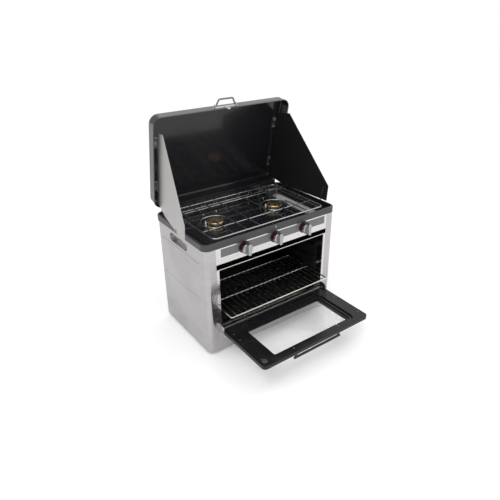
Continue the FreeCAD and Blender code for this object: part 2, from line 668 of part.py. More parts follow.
def window_block(grow, z0, z1):
    """Rounded slab of the window's outline, grown by a margin."""
    middle = DOOR_END - DOOR_L / 2 - WINDOW_OFFSET
    return rounded_block(-WINDOW_W / 2 - grow, WINDOW_W / 2 + grow, middle - WINDOW_L / 2 - grow,
                         middle + WINDOW_L / 2 + grow, z0, z1, WINDOW_CORNER_R + grow)


def door_outer_shell():
    shell = door_block(0, DOOR_BOTTOM, DOOR_TOP, DOOR_CORNER_R)
    shell = shell.makeFillet(DOOR_EDGE_R, edges_at_height(shell, DOOR_BOTTOM))
    hollow = door_block(SHEET, GLASS_Z, DOOR_TOP + 1, DOOR_CORNER_R - SHEET)
    hollow = hollow.makeFillet(DOOR_EDGE_R - SHEET, edges_at_height(hollow, GLASS_Z))
    holes = [cylinder(V(x, handle_line(), DOOR_BOTTOM - 1), Z_AXIS, SCREW_R + HOLE_FIT, 3 * SHEET)
             for x in handle_posts()]
    return shell.cut([hollow, window_block(0, DOOR_BOTTOM - 1, DOOR_TOP)] + holes)


def door_inner_panel():
    """Pressed inner skin with a stepped ledge round the window."""
    wall = SHEET + SKIN_FIT
    skin = door_block(wall, DOOR_TOP - SHEET, DOOR_TOP, DOOR_CORNER_R - wall)
    skin = skin.cut(window_block(2 * STEP_W - SHEET, DOOR_TOP - 2 * SHEET, DOOR_TOP + 1))
    drop = window_block(2 * STEP_W, LEDGE_TOP - SHEET, DOOR_TOP).cut(
        window_block(2 * STEP_W - SHEET, LEDGE_TOP, DOOR_TOP + 1))
    throat = window_block(STEP_W, GLASS_Z + GLASS_T, LEDGE_TOP).cut(
        window_block(STEP_W - SHEET, GLASS_Z + GLASS_T - 1, LEDGE_TOP + 1))
    floor = window_block(STEP_W, GLASS_Z + GLASS_T, GLASS_Z + GLASS_T + SHEET)
    drop = drop.cut(window_block(STEP_W - SHEET, LEDGE_TOP - 2 * SHEET, DOOR_TOP))
    solid = fuse([skin, drop, throat, floor])
    return solid.cut(window_block(0, DOOR_BOTTOM, DOOR_TOP + 1))


def door_glass():
    return window_block(GLASS_LAP, GLASS_Z, GLASS_Z + GLASS_T)


def glass_seal():
    """Flat seal round the edge of the glass."""
    return window_block(GLASS_LAP + SEAL_W, GLASS_Z, GLASS_Z + GLASS_T).cut(
        window_block(GLASS_LAP, GLASS_Z - 1, GLASS_Z + GLASS_T + 1))


def handle_line():
    return DOOR_END - DOOR_L + HANDLE_INSET


def handle_posts():
    return (-HANDLE_L / 2 + POST_R, HANDLE_L / 2 - POST_R)


def door_handle():
    """Round bar on two posts under the open door."""
    z = DOOR_BOTTOM - HANDLE_DROP
    y = handle_line()
    bar = cylinder(V(-HANDLE_L / 2 - POST_R, y, z), X_AXIS, HANDLE_R, HANDLE_L + 2 * POST_R)
    bar = bar.makeFillet(2.0, [e for e in bar.Edges if e.BoundBox.XLength < 1e-4])
    posts = [cylinder(V(x, y, z), Z_AXIS, POST_R, HANDLE_DROP) for x in handle_posts()]
    return fuse([bar] + posts)


def handle_screws():
    """Screw heads inside the door's skin, one over each handle post."""
    return [cylinder(V(x, handle_line(), GLASS_Z), Z_AXIS, POST_HEAD_R, POST_HEAD_H) for x in handle_posts()]


def screw_head(x, y, z, radius):
    """Low domed head with a cross recess."""
    head = cylinder(V(x, y, z), Z_AXIS, radius, SCREW_HEAD_H)
    head = head.makeFillet(SCREW_HEAD_H * 0.6, edges_at_height(head, z + SCREW_HEAD_H))
    arm = radius * 0.6
    half = SCREW_RECESS / 2
    floor = z + SCREW_HEAD_H / 2
    bars = [block(x - arm, x + arm, y - half, y + half, floor, floor + SCREW_HEAD_H),
            block(x - half, x + half, y - arm, y + arm, floor, floor + SCREW_HEAD_H)]
    return head.cut(bars)


def door_screws():
    """Screws that hold the inner panel to the outer shell, seen on the open door's upper face."""
    side = DOOR_W / 2 - SCREW_SIDE
    near = DOOR_END - SCREW_NEAR
    far = DOOR_END - DOOR_L + SCREW_FAR
    places = [(sx * side, y) for sx in (-1, 1) for y in (near, near - SCREW_STEP, far)]
    places += [(sx * HANDLE_L / 2, handle_line() + HANDLE_SCREW_SET) for sx in (-1, 1)]
    return Part.makeCompound([screw_head(x, y, DOOR_TOP, SCREW_R) for x, y in places] + handle_screws())


def door_catch():
    """Round catch button near the free left corner of the door."""
    middle = V(-DOOR_W / 2 + CATCH_SIDE, DOOR_END - DOOR_L + CATCH_END, DOOR_TOP)
    button = cylinder(middle, Z_AXIS, CATCH_R, CATCH_H)
    button = button.makeFillet(1.2, edges_at_height(button, DOOR_TOP + CATCH_H))
    return button.cut(cylinder(middle + Z_AXIS, Z_AXIS, CATCH_R * 0.5, CATCH_H))


def door_hinge_pins():
    """Two shoulder pins on the door's end corners."""
    shapes = []
    for side in (-1, 1):
        x = side * DOOR_W / 2
        start = V(x, DOOR_PIVOT.y, DOOR_PIVOT.z)
        shapes.append(cylinder(start, X_AXIS * side, HINGE_PIN_R, TAB_T + 3 * SLIP))
    return Part.makeCompound(shapes)


def hinge_tab(side):
    """Rounded ear on the body's front that carries one door pin."""
    x0 = side * (DOOR_W / 2 + 2 * SLIP) - (TAB_T if side < 0 else 0)
    middle = V(x0, DOOR_PIVOT.y - TAB_FORWARD, DOOR_PIVOT.z + TAB_RISE)
    disc = cylinder(middle, X_AXIS, TAB_R, TAB_T)
    root = block(x0, x0 + TAB_T, middle.y, FRONT, middle.z - TAB_R, middle.z + TAB_R)
    ear = disc.common(block(x0 - 1, x0 + TAB_T + 1, middle.y - TAB_R, FRONT, 0, BODY_H)).fuse(root)
    bore = cylinder(V(x0 - 1, DOOR_PIVOT.y, DOOR_PIVOT.z), X_AXIS, HINGE_PIN_R + PIN_FIT, TAB_T + 2)
    return ear.cut(bore).removeSplitter()


# ---------------------------------------------------------------- hob
def hob_block(inset, z0, z1, radius):
    """Rounded slab of the rim's outline, pulled in by an inset."""
    return rounded_block(-RIM_W / 2 + inset, RIM_W / 2 - inset, HOB_FRONT + inset, HOB_BACK - inset,
                         z0, z1, radius)


def hob_rim():
    """Hollow pressed frame round the hob, open underneath."""
    outer = hob_block(0, BODY_H, RIM_TOP, RIM_CORNER_R)
    outer = outer.makeFillet(RIM_TOP_R, edges_at_height(outer, RIM_TOP))
    outer = outer.cut(hob_block(RIM_BAND, BODY_H - 1, RIM_TOP + 1, RIM_CORNER_R - RIM_BAND))
    pocket = hob_block(RIM_SHEET, BODY_H - 1, RIM_TOP - RIM_SHEET, RIM_CORNER_R - RIM_SHEET)
    pocket = pocket.makeFillet(RIM_TOP_R - RIM_SHEET, edges_at_height(pocket, RIM_TOP - RIM_SHEET))
    core = hob_block(RIM_BAND - RIM_SHEET, BODY_H - 2, RIM_TOP + 1, RIM_CORNER_R - RIM_BAND + RIM_SHEET)
    return outer.cut(pocket.cut(core))


def hob_tray():
    """Deep enamelled tray with a guard along its rear edge and a raised collar round each burner."""
    inset = RIM_BAND + TRAY_GAP
    radius = RIM_CORNER_R - inset
    tray = hob_block(inset, TRAY_FLOOR, RIM_TOP - TRAY_LIP, radius)
    tray = tray.makeFillet(TRAY_FLOOR_R, edges_at_height(tray, TRAY_FLOOR))
    hollow = hob_block(inset + SHEET, TRAY_FLOOR + SHEET, RIM_TOP, radius - SHEET)
    hollow = hollow.makeFillet(TRAY_FLOOR_R - SHEET, edges_at_height(hollow, TRAY_FLOOR + SHEET))
    half = RIM_W / 2 - UPSTAND_SIDE_GAP
    back = HOB_BACK - inset
    guard = block(-half, half, back - SHEET, back, RIM_TOP - 2 * TRAY_LIP, RIM_TOP + UPSTAND_H)
    tray = tray.cut(hollow).fuse(guard)
    for x in (-BURNER_X, BURNER_X):
        start = V(x, BURNER_Y, BURNER_SEAT)
        collar = cylinder(start, Z_AXIS, BURNER_BASE_R + COLLAR_GAP + SHEET, COLLAR_H)
        tray = tray.fuse(collar.cut(cylinder(start, Z_AXIS, BURNER_BASE_R + COLLAR_GAP, COLLAR_H)))
        tray = tray.cut(cylinder(V(x, BURNER_Y, TRAY_FLOOR - 1), Z_AXIS, NECK_R + HOLE_FIT, 3 * SHEET))
    return tray


def burner_base(x):
    """Cast burner cup with radial flame slots, and a neck through the tray."""
    start = V(x, BURNER_Y, BURNER_SEAT)
    cup = cylinder(start, Z_AXIS, BURNER_BASE_R, BURNER_BASE_H)
    cup = cup.makeChamfer(2.0, edges_at_height(cup, BURNER_SEAT))
    cup = cup.cut(cylinder(start + Z_AXIS * BURNER_FLOOR, Z_AXIS, BURNER_BASE_R - BURNER_WALL, BURNER_BASE_H))
    neck = cylinder(start - Z_AXIS * NECK_L, Z_AXIS, NECK_R, NECK_L)
    reach = BURNER_BASE_R + 1
    rim = BURNER_SEAT + BURNER_BASE_H
    slit = block(x - reach, x + reach, BURNER_Y - BURNER_SLIT_W / 2, BURNER_Y + BURNER_SLIT_W / 2,
                 rim - BURNER_SLIT_H, rim + 1)
    slits = []
    for index in range(BURNER_SLITS):
        turned = slit.copy()
        turned.rotate(start, Z_AXIS, index * 180 / BURNER_SLITS)
        slits.append(turned)
    bore = cylinder(start - Z_AXIS * (NECK_L + 1), Z_AXIS, NECK_BORE_R, NECK_L + BURNER_BASE_H - 1)
    return cup.fuse(neck).cut(slits + [bore])


def burner_cap(x):
    """Brass cap that lies on the burner cup."""
    start = V(x, BURNER_Y, BURNER_SEAT + BURNER_BASE_H)
    cap = cylinder(start, Z_AXIS, BURNER_CAP_R, BURNER_CAP_H)
    cap = cap.makeFillet(BURNER_CAP_H / 2, edges_at_height(cap, start.z + BURNER_CAP_H))
    dish = Part.makeSphere(CAP_DISH_R, start + V(0, 0, BURNER_CAP_H - CAP_DISH_H + CAP_DISH_R))
    return cap.cut(dish)


def venturi(x):
    """Mixing pipe from a valve's jet to a socket under the burner's neck, below the tray."""
    mouth = V(x, MANIFOLD_Y + VALVE_L / 2 + JET_L, KNOB_Z)
    elbow = V(x, BURNER_Y, KNOB_Z)
    rise = BURNER_SEAT - NECK_L - KNOB_Z
    socket = cylinder(elbow - Z_AXIS * VENTURI_R, Z_AXIS, VENTURI_R, VENTURI_R + rise)
    pipe = socket.fuse(rod(mouth, elbow, NECK_R))
    bore = rod(mouth - Y_AXIS, elbow, NECK_BORE_R)
    riser = cylinder(elbow - Z_AXIS * NECK_BORE_R, Z_AXIS, NECK_BORE_R, NECK_BORE_R + rise + 1)
    return pipe.cut([bore, riser])


def drip_rings():
    """Wire ring round each burner, on three short legs."""
    shapes = []
    z = BURNER_SEAT + DRIP_RING_RISE
    for x in (-BURNER_X, BURNER_X):
        middle = V(x, BURNER_Y, z)
        halves = []
        for turn in (0, 180):
            half = Part.makeTorus(DRIP_RING_R, DRIP_WIRE_R, middle, Z_AXIS, -180, 180, 180)
            half.rotate(middle, Z_AXIS, turn)
            halves.append(half)
        legs = []
        for index in range(3):
            angle = math.radians(30 + 120 * index)
            foot = V(x + DRIP_RING_R * math.cos(angle), BURNER_Y + DRIP_RING_R * math.sin(angle), BURNER_SEAT)
            legs.append(cylinder(foot, Z_AXIS, DRIP_LEG_R, z - BURNER_SEAT))
        shapes.append(halves[0].multiFuse(halves[1:] + legs))
    return Part.makeCompound(shapes)


def electrodes():
    """Ceramic spark electrodes beside the burners."""
    shapes = []
    for x in (-BURNER_X, BURNER_X):
        foot = V(x - BURNER_BASE_R - ELECTRODE_GAP, BURNER_Y + ELECTRODE_BACK, BURNER_SEAT)
        body = cylinder(foot, Z_AXIS, ELECTRODE_R, ELECTRODE_H)
        tip = cylinder(foot + Z_AXIS * ELECTRODE_H, Z_AXIS, ELECTRODE_TIP_R, ELECTRODE_TIP_H)
        collar = cylinder(foot, Z_AXIS, ELECTRODE_R + 2, 2)
        shapes.append(fuse([body, tip, collar]))
    return Part.makeCompound(shapes)


def thermocouples():
    """Flame-failure probes beside the electrodes."""
    shapes = []
    for x in (-BURNER_X, BURNER_X):
        foot = V(x - BURNER_BASE_R - PROBE_GAP, BURNER_Y - PROBE_FORWARD, BURNER_SEAT)
        probe = cylinder(foot, Z_AXIS, PROBE_R, ELECTRODE_H - 1)
        nut = cylinder(foot, Z_AXIS, PROBE_NUT_R, PROBE_NUT_R)
        shapes.append(probe.fuse(nut))
    return Part.makeCompound(shapes)


# ---------------------------------------------------------------- pan support
def rail(z, radius):
    """Closed rounded rectangle of wire at one height."""
    corners = [V(0, GRID_BACK, z), V(-GRID_HALF_W, GRID_BACK, z), V(-GRID_HALF_W, GRID_FRONT, z),
               V(GRID_HALF_W, GRID_FRONT, z), V(GRID_HALF_W, GRID_BACK, z), V(0, GRID_BACK, z)]
    return bent_rod(corners, radius, GRID_CORNER_R)


def grid_wires():
    """Wires across the top: those in line with a burner stop short of it with their ends turned down."""
    z = GRID_Z + GRID_RAIL_R - 1
    outer, inner = GRID_WIRE_PLACES
    shapes = []
    for x0 in (-BURNER_X, BURNER_X):
        for x in (x0 - outer, x0 + outer):
            shapes.append(rod(V(x, GRID_FRONT, z), V(x, GRID_BACK, z), GRID_WIRE_R))
        for x in (x0 - inner, x0 + inner):
            for near, far in ((GRID_FRONT, BURNER_Y - GRID_GAP_R), (GRID_BACK, BURNER_Y + GRID_GAP_R)):
                points = [V(x, near, z), V(x, far, z), V(x, far, z - GRID_TIP_DROP)]
                shapes.append(bent_rod(points, GRID_WIRE_R, GRID_WIRE_R + 0.5))
    lower = z - 2 * GRID_WIRE_R + 1
    for y in (BURNER_Y - GRID_BAR_PLACE, BURNER_Y + GRID_BAR_PLACE):
        shapes.append(rod(V(-GRID_HALF_W, y, lower), V(GRID_HALF_W, y, lower), GRID_WIRE_R))
    return shapes


def grid_ladder(y, grille):
    """Lower rail along the front or the rear, hung from the grille on posts."""
    low = GRID_Z - GRID_DROP
    span = GRID_HALF_W - GRID_CORNER_R
    shapes = [rod(V(-span, y, low), V(span, y, low), GRID_RAIL_R - 0.5)]
    for index in range(GRID_POSTS):
        x = -span + 2 * span * index / (GRID_POSTS - 1)
        shapes.append(rod(V(x, y, low), V(x, y, GRID_Z), GRID_WIRE_R - 0.5))
    return fuse(shapes).cut(grille).Solids


def pan_grid():
    """Lift-out wire pan support: a flat grille, a ladder at the front and rear, and four legs."""
    grille = fuse([rail(GRID_Z, GRID_RAIL_R)] + grid_wires())
    solids = [grille]
    for y in (GRID_FRONT, GRID_BACK):
        solids += grid_ladder(y, grille)
    for x in (-GRID_HALF_W, GRID_HALF_W):
        for y in (GRID_FRONT + GRID_CORNER_R, GRID_BACK - GRID_CORNER_R):
            leg = rod(V(x, y, BURNER_SEAT + SLIP), V(x, y, GRID_Z), GRID_WIRE_R)
            solids += leg.cut(grille).Solids
    return Part.makeCompound(solids)


# ---------------------------------------------------------------- gas parts
def valve_body(x):
    """Brass tap body on the manifold, with a gland towards the panel and a jet behind."""
    y0 = FRONT + SHEET + VALVE_Y_GAP
    body = block(x - VALVE_W / 2, x + VALVE_W / 2, y0, y0 + VALVE_L,
                 KNOB_Z - VALVE_H / 2, KNOB_Z + VALVE_H / 2)
    body = body.makeChamfer(1.5, body.Edges)
    gland = cylinder(V(x, FRONT + SHEET, KNOB_Z), Y_AXIS, SPINDLE_R + 4, VALVE_Y_GAP + 1)
    jet = cylinder(V(x, y0 + VALVE_L, KNOB_Z), Y_AXIS, JET_R, JET_L)
    bore = cylinder(V(x, FRONT, KNOB_Z), Y_AXIS, SPINDLE_R + PIN_FIT, VALVE_L)
    pipe = cylinder(V(x - VALVE_W, MANIFOLD_Y, MANIFOLD_Z), X_AXIS, MANIFOLD_R, 2 * VALVE_W)
    return fuse([body, gland, jet]).cut([bore, pipe])


def gas_manifold():
    """Supply pipe behind the control panel that all the taps sit on."""
    left = KNOB_X[0] - MANIFOLD_END
    pipe = cylinder(V(left, MANIFOLD_Y, MANIFOLD_Z), X_AXIS, MANIFOLD_R, INLET_X - left)
    turn = REAR - MANIFOLD_TURN
    back = bent_rod([V(INLET_X - MANIFOLD_R * 3, MANIFOLD_Y, MANIFOLD_Z), V(INLET_X, MANIFOLD_Y, MANIFOLD_Z),
                     V(INLET_X, turn, MANIFOLD_Z), V(INLET_X, turn, INLET_Z),
                     V(INLET_X, REAR - SHEET - INLET_HEX_L, INLET_Z)], PIPE_R, PIPE_BEND_R)
    return pipe.fuse(back)


def gas_inlet():
    """Hose tail through the rear panel, held by a nut inside."""
    start = V(INLET_X, REAR - SHEET - INLET_HEX_L, INLET_Z)
    nut = hexagon(start, INLET_HEX_R, INLET_HEX_L)
    shank = cylinder(start, Y_AXIS, INLET_SHANK_R, INLET_HEX_L + SHEET + 1)
    outer = hexagon(V(INLET_X, REAR, INLET_Z), INLET_HEX_R, INLET_COLLAR_L)
    root = V(INLET_X, REAR + INLET_COLLAR_L, INLET_Z)
    tail = cylinder(root, Y_AXIS, INLET_TAIL_R, INLET_TAIL_L)
    tip = root + Y_AXIS * INLET_TAIL_L
    nose = Part.makeCone(INLET_TAIL_R, INLET_TAIL_R - INLET_GROOVE, INLET_NOSE_L, tip, Y_AXIS)
    rings = []
    for index in range(1, INLET_GROOVES + 1):
        place = root + Y_AXIS * (INLET_TAIL_L * index / (INLET_GROOVES + 1))
        band = cylinder(place, Y_AXIS, INLET_TAIL_R + 1, 1)
        rings.append(band.cut(cylinder(place, Y_AXIS, INLET_TAIL_R - INLET_GROOVE / 2, 1)))
    bore = cylinder(start - Y_AXIS, Y_AXIS, INLET_BORE_R, 2 * INLET_TAIL_L + INLET_HEX_L)
    return fuse([nut, shank, outer, tail, nose]).cut([bore] + rings)


def hexagon(start, radius, length):
    points = [start + V(radius * math.cos(math.radians(60 * i)), 0, radius * math.sin(math.radians(60 * i)))
              for i in range(6)]
    return prism(points, Y_AXIS * length)


def spindle(x):
    """Tap spindle from the valve to the knob."""
    rear = FRONT + SHEET + VALVE_Y_GAP + SPINDLE_L_IN_VALVE
    front = KNOB_BACK - SPINDLE_L_IN_KNOB
    return cylinder(V(x, front, KNOB_Z), Y_AXIS, SPINDLE_R, rear - front)


def knob(x):
    """Round knob: a collar, a wide disc with a soft front edge, and a straight grip bar across it."""
    base = V(x, KNOB_BACK, KNOB_Z)
    face = KNOB_BACK - KNOB_COLLAR_H - KNOB_DISC_H
    collar = cylinder(base, -Y_AXIS, KNOB_COLLAR_R, KNOB_COLLAR_H + 1)
    disc = cylinder(base - Y_AXIS * KNOB_COLLAR_H, -Y_AXIS, KNOB_R, KNOB_DISC_H)
    disc = disc.makeFillet(KNOB_EDGE_R, [e for e in disc.Edges if abs(e.BoundBox.YMax - face) < 1e-4])
    half = KNOB_R + GRIP_BAR_LAP
    bar = block(x - GRIP_BAR_W / 2, x + GRIP_BAR_W / 2, KNOB_BACK - KNOB_H, face + KNOB_DISC_H - 1,
                KNOB_Z - half, KNOB_Z + half)
    bar = bar.makeFillet(GRIP_BAR_R, [e for e in bar.Edges if e.BoundBox.YMin < KNOB_BACK - KNOB_H + 1])
    bore = cylinder(base + Y_AXIS, -Y_AXIS, SPINDLE_R + PIN_FIT, SPINDLE_L_IN_KNOB + 1 + SLIP)
    return fuse([collar, disc, bar]).cut(bore)


def knob_bezels():
    """Coloured scale plates on the panel behind the knobs."""
    shapes = []
    for x in KNOB_X:
        plate = cylinder(V(x, FRONT, KNOB_Z), -Y_AXIS, KNOB_BEZEL_R, KNOB_BEZEL_T)
        shapes.append(plate.cut(cylinder(V(x, FRONT + 1, KNOB_Z), -Y_AXIS, SPINDLE_HOLE_R, KNOB_BEZEL_T + 2)))
    return Part.makeCompound(shapes)


# ---------------------------------------------------------------- lid, drawn closed and then opened
def at_lid(x, along, depth):
    """Point of the closed lid: along from the hinge side to the handle side, depth up from its edge."""
    return V(x, HOB_BACK - along, LID_SEAT + depth)


def opened(shape):
    """Turns a piece of the closed lid to its open place."""
    shape.rotate(LID_PIN, X_AXIS, -LID_OPEN)
    return shape


def lid_block(inset, d0, d1, radius):
    return rounded_block(-RIM_W / 2 + inset, RIM_W / 2 - inset, HOB_FRONT + inset, HOB_BACK - inset,
                         LID_SEAT + d0, LID_SEAT + d1, radius)


def lid_shell():
    """Deep-drawn tray with a turned lip and a raised field on its back."""
    wall_r = LID_CORNER_R - LID_LIP
    top = LID_SEAT + LID_DEPTH
    shell = lid_block(LID_LIP, 0, LID_DEPTH, wall_r)
    shell = shell.makeFillet(LID_BACK_R, edges_at_height(shell, top))
    shell = shell.fuse(lid_block(0, 0, LID_LIP_H, LID_CORNER_R))
    shell = shell.fuse(lid_block(EMBOSS_INSET, LID_DEPTH - 1, LID_DEPTH + EMBOSS_H, EMBOSS_CORNER_R))
    inner = LID_DEPTH - SHEET
    hollow = lid_block(LID_LIP + SHEET, -1, inner, wall_r - SHEET)
    hollow = hollow.makeFillet(LID_BACK_R - SHEET, edges_at_height(hollow, LID_SEAT + inner))
    hollow = hollow.fuse(lid_block(EMBOSS_INSET + SHEET, inner - 1, inner + EMBOSS_H, EMBOSS_CORNER_R - SHEET))
    return opened(shell.cut(hollow))


def lid_hinge_fixed(side):
    """Hinge leaf on the rim's rear face, with two outer knuckles."""
    half = LID_KNUCKLE_L / 2
    x = side * LID_HINGE_X
    bottom = BODY_H + LEAF_GAP
    top = RIM_TOP - RIM_TOP_R
    shapes = [block(x - 3 * half, x + 3 * half, HOB_BACK, HOB_BACK + LEAF_T, bottom, top)]
    for start in (x - 3 * half, x + half + SLIP):
        length = LID_KNUCKLE_L - SLIP
        outline = [V(start, HOB_BACK, bottom), V(start, HOB_BACK + LEAF_T, bottom),
                   V(start, LID_PIN.y + (LID_KNUCKLE_R + LID_PIN_R) / 2, LID_PIN.z),
                   V(start, LID_PIN.y - WEB_SET, LID_PIN.z), V(start, HOB_BACK, top)]
        shapes.append(prism(outline, X_AXIS * length))
        shapes.append(cylinder(V(start, LID_PIN.y, LID_PIN.z), X_AXIS, LID_KNUCKLE_R, length))
    bore = cylinder(V(x - 4 * half, LID_PIN.y, LID_PIN.z), X_AXIS, LID_PIN_R, 8 * half)
    middle = cylinder(V(x - half, LID_PIN.y, LID_PIN.z), X_AXIS, LID_KNUCKLE_R + 1, LID_KNUCKLE_L)
    return fuse(shapes).cut([bore, middle])


def lid_hinge_moving(side):
    """Hinge leaf on the lid's wall, with the middle knuckle."""
    half = LID_KNUCKLE_L / 2
    x = side * LID_HINGE_X
    foot = LID_SEAT + LID_LIP_H + LEAF_RISE
    head = LID_SEAT + LID_DEPTH - LID_BACK_R
    leaf = block(x - 3 * half, x + 3 * half, HOB_BACK, HOB_BACK + LEAF_T, foot, head)
    start = x - half + SLIP
    length = LID_KNUCKLE_L - 2 * SLIP
    outline = [V(start, HOB_BACK, foot), V(start, LID_PIN.y - WEB_SET, LID_PIN.z - WEB_SET),
               V(start, LID_PIN.y + 2 * WEB_SET, LID_PIN.z), V(start, HOB_BACK + LEAF_T, head),
               V(start, HOB_BACK, head)]
    arm = prism(outline, X_AXIS * length)
    knuckle = cylinder(V(start, LID_PIN.y, LID_PIN.z), X_AXIS, LID_KNUCKLE_R, length)
    pad = block(x - 3 * half, x + 3 * half, HOB_BACK - LID_LIP, HOB_BACK, foot, head)
    bore = cylinder(V(start - 1, LID_PIN.y, LID_PIN.z), X_AXIS, LID_PIN_R + PIN_FIT, length + 2)
    return opened(fuse([leaf, arm, knuckle, pad]).cut(bore))


def lid_hinge_pins():
    shapes = []
    for side in (-1, 1):
        start = V(side * LID_HINGE_X - 1.5 * LID_KNUCKLE_L - 1, LID_PIN.y, LID_PIN.z)
        shapes.append(cylinder(start, X_AXIS, LID_PIN_R, 3 * LID_KNUCKLE_L + 2))
    return shapes


# ---------------------------------------------------------------- wind shields
def shield_sign(side):
    return -1 if side == "left" else 1


def shield_pin(side):
    """Point of the shield's hinge line, at the lid's hinge end, lid closed."""
    return at_lid(shield_sign(side) * SHIELD_X, 0, LID_DEPTH - SHIELD_PIN_SETS[side])


def splayed(shape, side):
    """Swings a shield outwards about its hinge, then opens the lid."""
    shape.rotate(shield_pin(side), Y_AXIS, -shield_sign(side) * SHIELD_SPLAY[side])
    return opened(shape)


def wind_shield(side):
    """Flat steel wing with rolled knuckles on its hinge edge."""
    pin = shield_pin(side)
    x0 = pin.x - SHEET / 2
    outline = [V(x0, HOB_BACK - along, pin.z - out) for along, out in SHIELD_OUTLINE]
    shapes = [prism(outline, X_AXIS * SHEET)]
    for along in SHIELD_HINGES:
        y0 = HOB_BACK - along - SHIELD_KNUCKLE_L
        shapes.append(cylinder(V(pin.x, y0, pin.z), Y_AXIS, SHIELD_KNUCKLE_R, SHIELD_KNUCKLE_L))
        shapes.append(block(x0, x0 + SHEET, y0, y0 + SHIELD_KNUCKLE_L, pin.z - 6, pin.z))
    bores = [cylinder(V(pin.x, HOB_BACK - along - 2 * SHIELD_KNUCKLE_L, pin.z), Y_AXIS, SHIELD_PIN_R + PIN_FIT,
                      3 * SHIELD_KNUCKLE_L) for along in SHIELD_HINGES]
    wing = splayed(fuse(shapes).cut(bores), side)
    return Part.makeCompound([wing, shield_peg(side), shield_wire(side)])


def shield_peg(side):
    """Locating peg on the shield's outer face, near its lower edge."""
    pin = shield_pin(side)
    along, out = SHIELD_PEG_PLACE
    x = pin.x + shield_sign(side) * (SHEET / 2 + SHIELD_PEG_R)
    peg = cylinder(V(x, HOB_BACK - along, pin.z - out), -Y_AXIS, SHIELD_PEG_R, SHIELD_PEG_L)
    return splayed(peg.makeFillet(0.8, peg.Edges[:1]), side)


def shield_wire(side):
    """Straight locking wire on the shield's inner face, near its front edge."""
    pin = shield_pin(side)
    along, out = SHIELD_PIN_WIRE_PLACE
    x = pin.x - shield_sign(side) * (SHEET / 2 + SHIELD_PIN_WIRE_R)
    wire = cylinder(V(x, HOB_BACK - along, pin.z - out), -Y_AXIS, SHIELD_PIN_WIRE_R, SHIELD_PIN_WIRE_L)
    return splayed(wire, side)


def shield_brackets(side):
    """Hinge brackets on the lid's back: at each hinge a foot plate with two end lugs, and the pin in them."""
    pin = shield_pin(side)
    back = LID_SEAT + LID_DEPTH + EMBOSS_H - SHEET
    reach = SLIP + SHIELD_LUG_T + SHEET
    shapes = []
    for along in SHIELD_HINGES:
        y1 = HOB_BACK - along
        y0 = y1 - SHIELD_KNUCKLE_L
        parts = [block(pin.x - SHIELD_FOOT_W / 2, pin.x + SHIELD_FOOT_W / 2, y0 - SHIELD_FOOT_END,
                       y1 + SHIELD_FOOT_END, back - SHEET, back)]
        for start in (y0 - SLIP - SHIELD_LUG_T, y1 + SLIP):
            lug = block(pin.x - SHIELD_KNUCKLE_R, pin.x + SHIELD_KNUCKLE_R, start, start + SHIELD_LUG_T,
                        pin.z, back)
            parts.append(lug.fuse(cylinder(V(pin.x, start, pin.z), Y_AXIS, SHIELD_KNUCKLE_R, SHIELD_LUG_T)))
        pin_rod = cylinder(V(pin.x, y0 - reach, pin.z), Y_AXIS, SHIELD_PIN_R, SHIELD_KNUCKLE_L + 2 * reach)
        shapes += [fuse(parts).cut(pin_rod), pin_rod]
    return opened(Part.makeCompound(shapes))


# ---------------------------------------------------------------- bail handle and latch
def bail_plate():
    """Plate on the lid's front wall with two drilled lugs."""
    wall = HOB_FRONT + LID_LIP
    z = LID_SEAT + BAIL_DEPTH
    reach = BAIL_FOOT_X + BAIL_STUB + BAIL_LUG_T
    plate = rounded_plate(reach + BAIL_PLATE_END, BAIL_PLATE_H / 2, wall, z)
    shapes = [plate]
    for side in (-1, 1):
        x0 = side * (BAIL_FOOT_X + BAIL_STUB / 2) + (0 if side > 0 else -BAIL_LUG_T)
        root = block(x0, x0 + BAIL_LUG_T, HOB_FRONT - BAIL_PIVOT, wall, z - BAIL_EYE_R, z + BAIL_EYE_R)
        eye = cylinder(V(x0, HOB_FRONT - BAIL_PIVOT, z), X_AXIS, BAIL_EYE_R, BAIL_LUG_T)
        shapes += [root, eye]
    bore = cylinder(V(-reach, HOB_FRONT - BAIL_PIVOT, z), X_AXIS, BAIL_PIN_R + PIN_FIT, 2 * reach)
    return opened(fuse(shapes).cut(bore))


def rounded_plate(half_length, half_height, wall, z):
    """Plate on the front wall with round ends."""
    core = block(-half_length + half_height, half_length - half_height, wall - BAIL_PLATE_T, wall,
                 z - half_height, z + half_height)
    reach = half_length - half_height
    ends = [cylinder(V(side * reach, wall - BAIL_PLATE_T, z), Y_AXIS, half_height, BAIL_PLATE_T)
            for side in (-1, 1)]
    return fuse([core] + ends)


def bail_handle():
    """Wire bail whose two ends turn in the plate's lugs."""
    y0 = HOB_FRONT - BAIL_PIVOT
    z = LID_SEAT + BAIL_DEPTH
    points = [V(-BAIL_FOOT_X, y0, z), V(-BAIL_TOP_X, y0 - BAIL_RISE, z), V(BAIL_TOP_X, y0 - BAIL_RISE, z),
              V(BAIL_FOOT_X, y0, z)]
    shapes = [bent_rod(points, BAIL_WIRE_R, BAIL_BEND_R)]
    for side in (-1, 1):
        foot = V(side * BAIL_FOOT_X, y0, z)
        shapes.append(Part.makeSphere(BAIL_WIRE_R, foot))
        shapes.append(cylinder(foot, X_AXIS * side, BAIL_PIN_R, BAIL_STUB / 2 + BAIL_LUG_T + 1))
    return opened(fuse(shapes))


